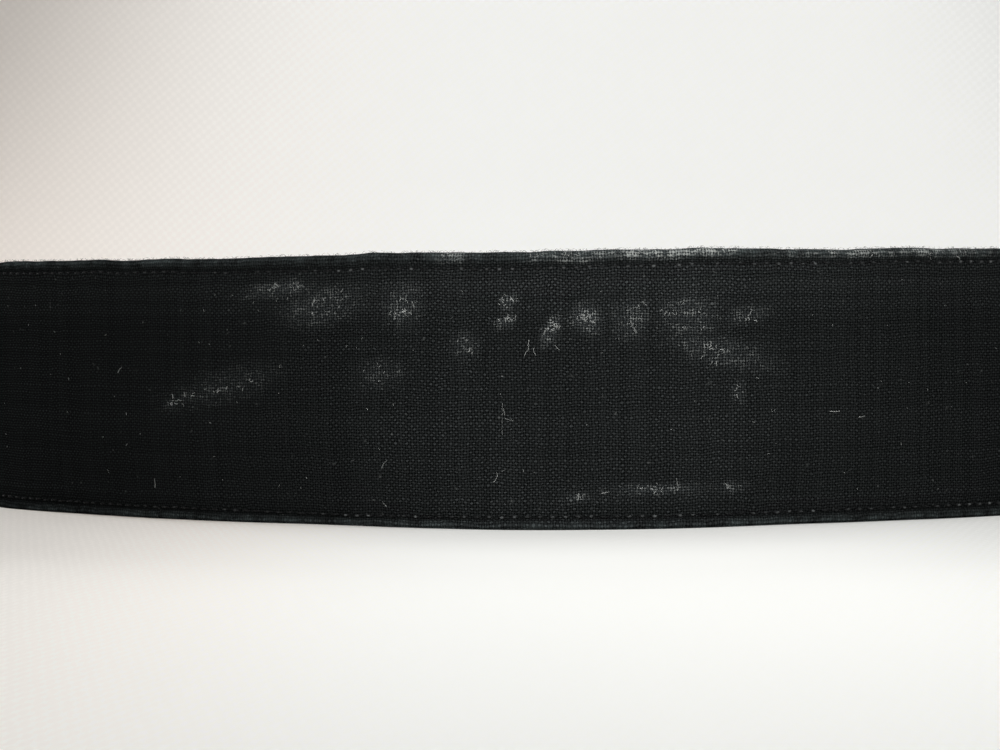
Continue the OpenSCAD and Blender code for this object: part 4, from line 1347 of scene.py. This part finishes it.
# Floor, backdrop, light and camera
studio = {"glow": (1.0, 1.0, 0.975, 1), "warm": (1.0, 0.90, 0.82, 1), "world": 0.06, "sky": 0.78,
          "skirt": 0.72, "skirtFrom": (0.3, 2.2), "grainTurn": 0.9, "grainShare": 0.045,
          "studioFloor": {"colour": (0.66, 0.66, 0.635, 1), "glow": (0.38, 0.28),
                          "middle": (-0.01, -0.22, 0), "wide": (0.10, 0.30, 1), "grain": 1.15,
                          "grainMap": (1000, 300, 1000)},
          "studioBackdrop": {"colour": (0.28, 0.28, 0.27, 1), "glow": (0.745, 0.35),
                             "middle": (0.10, 1.6, 0.1), "wide": (1.0, 1, 0.25), "grain": 7.0,
                             "grainMap": (1000, 1000, 1000)},
          # place, aim, power, size, spread
          "lamps": {"key": ((0.20, -1.20, 0.62), (0.004, -0.167, 0.02), 0.070, 0.10, 13.5),
                    "left": ((-1.12, 0.42, 0.7), (0, 0, 0.03), 7.0, 0.6, 180),
                    "right": ((1.12, 0.42, 0.7), (0, 0, 0.03), 7.0, 0.6, 180),
                    "back": ((0, 1.2, 0.8), (0, 0, 0.03), 9.0, 0.7, 180),
                    "over": ((0, 0.25, 1.3), (0, 0, 0.03), 4.0, 1.0, 180)},
          "lens": 73.9, "eye": (-0.018, -0.531, 0.0405), "down": 2.0, "roll": -0.5}


def seenByEye(tree):
    # 1 for what the camera sees, straight or in a mirror or through glass, and 0 for the light it sends out
    camera, glossy, through = (addNode(tree, "LightPath", {}, f"Is {kind} Ray")
                               for kind in ("Camera", "Glossy", "Transmission"))
    return calc("MAXIMUM", camera, calc("MAXIMUM", glossy, through))


def clothMaterial(name):
    # painted light: the ground cloth glows for the camera, dimmer and warmer away from the middle of the
    # view, like a pool under one lamp
    material, tree, place, flat = newMaterial(name, roughness=0.95, specular=0.1)
    sizes, (x, y, z) = studio[name], partsOf(place)
    spans = zip((x, y, z), sizes["middle"], sizes["wide"])
    aside, ahead, above = ((part - at) / wide for part, at, wide in spans)
    far = (aside * aside + ahead * ahead) * (1.0 + calc("MAXIMUM", above, 0.0) * 1.2)
    warm = band01(aside, -0.1, -0.75) * band01(far, 2.2, 1.0)
    # its own fine grain, laid slantwise
    face = addNode(tree, "CombineXYZ", {0: x, 1: y + z})
    turned = stretched(stretched(face, sizes["grainMap"]), (1, 1, 1), studio["grainTurn"])
    grain = groupNode(tree, weaveGroup, Map=turned, Pitch=sizes["grain"], Slub=0.6)["Height"]
    toned = 1.02 - grain * studio["grainShare"]
    glow = band01(far, 0.1, 1.0, *sizes["glow"])
    if name == "studioFloor":
        # well away from the belt its painted glow meets the pale surroundings
        glow = blendNumber(band01(x * x + y * y, *studio["skirtFrom"]), glow, studio["skirt"])
    return finish(material, blendColour(1.0, sizes["colour"], toned, "MULTIPLY"),
                  **{"Emission Color": blendColour(warm, studio["glow"], studio["warm"]),
                     "Emission Strength": seenByEye(tree) * glow * toned})


def makeStudio():
    deselect()
    bpy.ops.mesh.primitive_plane_add(size=4)
    floor = called("studioFloor")
    bpy.ops.mesh.primitive_plane_add(size=4, location=(0, 1.6, 1.2), rotation=(math.radians(90), 0, 0))
    bpy.ops.object.transform_apply(location=True, rotation=True, scale=True)
    backdrop = called("studioBackdrop")
    for obj in (floor, backdrop):
        obj.data.materials.append(clothMaterial(obj.name))
    world = bpy.data.worlds.new("studioWorld")
    bpy.context.scene.world = world
    world.use_nodes = True
    paper = world.node_tree.nodes["Background"]
    connect(studio["glow"], paper.inputs[0])
    connect(blendNumber(seenByEye(world.node_tree), studio["world"], studio["sky"]), paper.inputs[1])
    for name, (place, aim, power, size, spread) in studio["lamps"].items():
        bpy.ops.object.light_add(type="AREA", location=place)
        lamp = called(name + "Lamp")
        lamp.data.energy, lamp.data.size, lamp.data.spread = power, size, math.radians(spread)
        lamp.rotation_euler = (Vector(aim) - Vector(place)).to_track_quat("-Z", "Y").to_euler()
    bpy.ops.object.camera_add()
    camera = called("viewCamera")
    camera.data.lens, camera.data.sensor_width, camera.data.clip_start = studio["lens"], 36, 0.01
    down, roll = math.radians(90 - studio["down"]), math.radians(studio["roll"])
    turn = Matrix.Rotation(down, 4, "X") @ Matrix.Rotation(roll, 4, "Z")
    camera.matrix_world = Matrix.Translation(studio["eye"]) @ turn
    bpy.context.scene.camera = camera
    bpy.context.scene.view_settings.view_transform = "Standard"


makeStudio()
print("studio done")
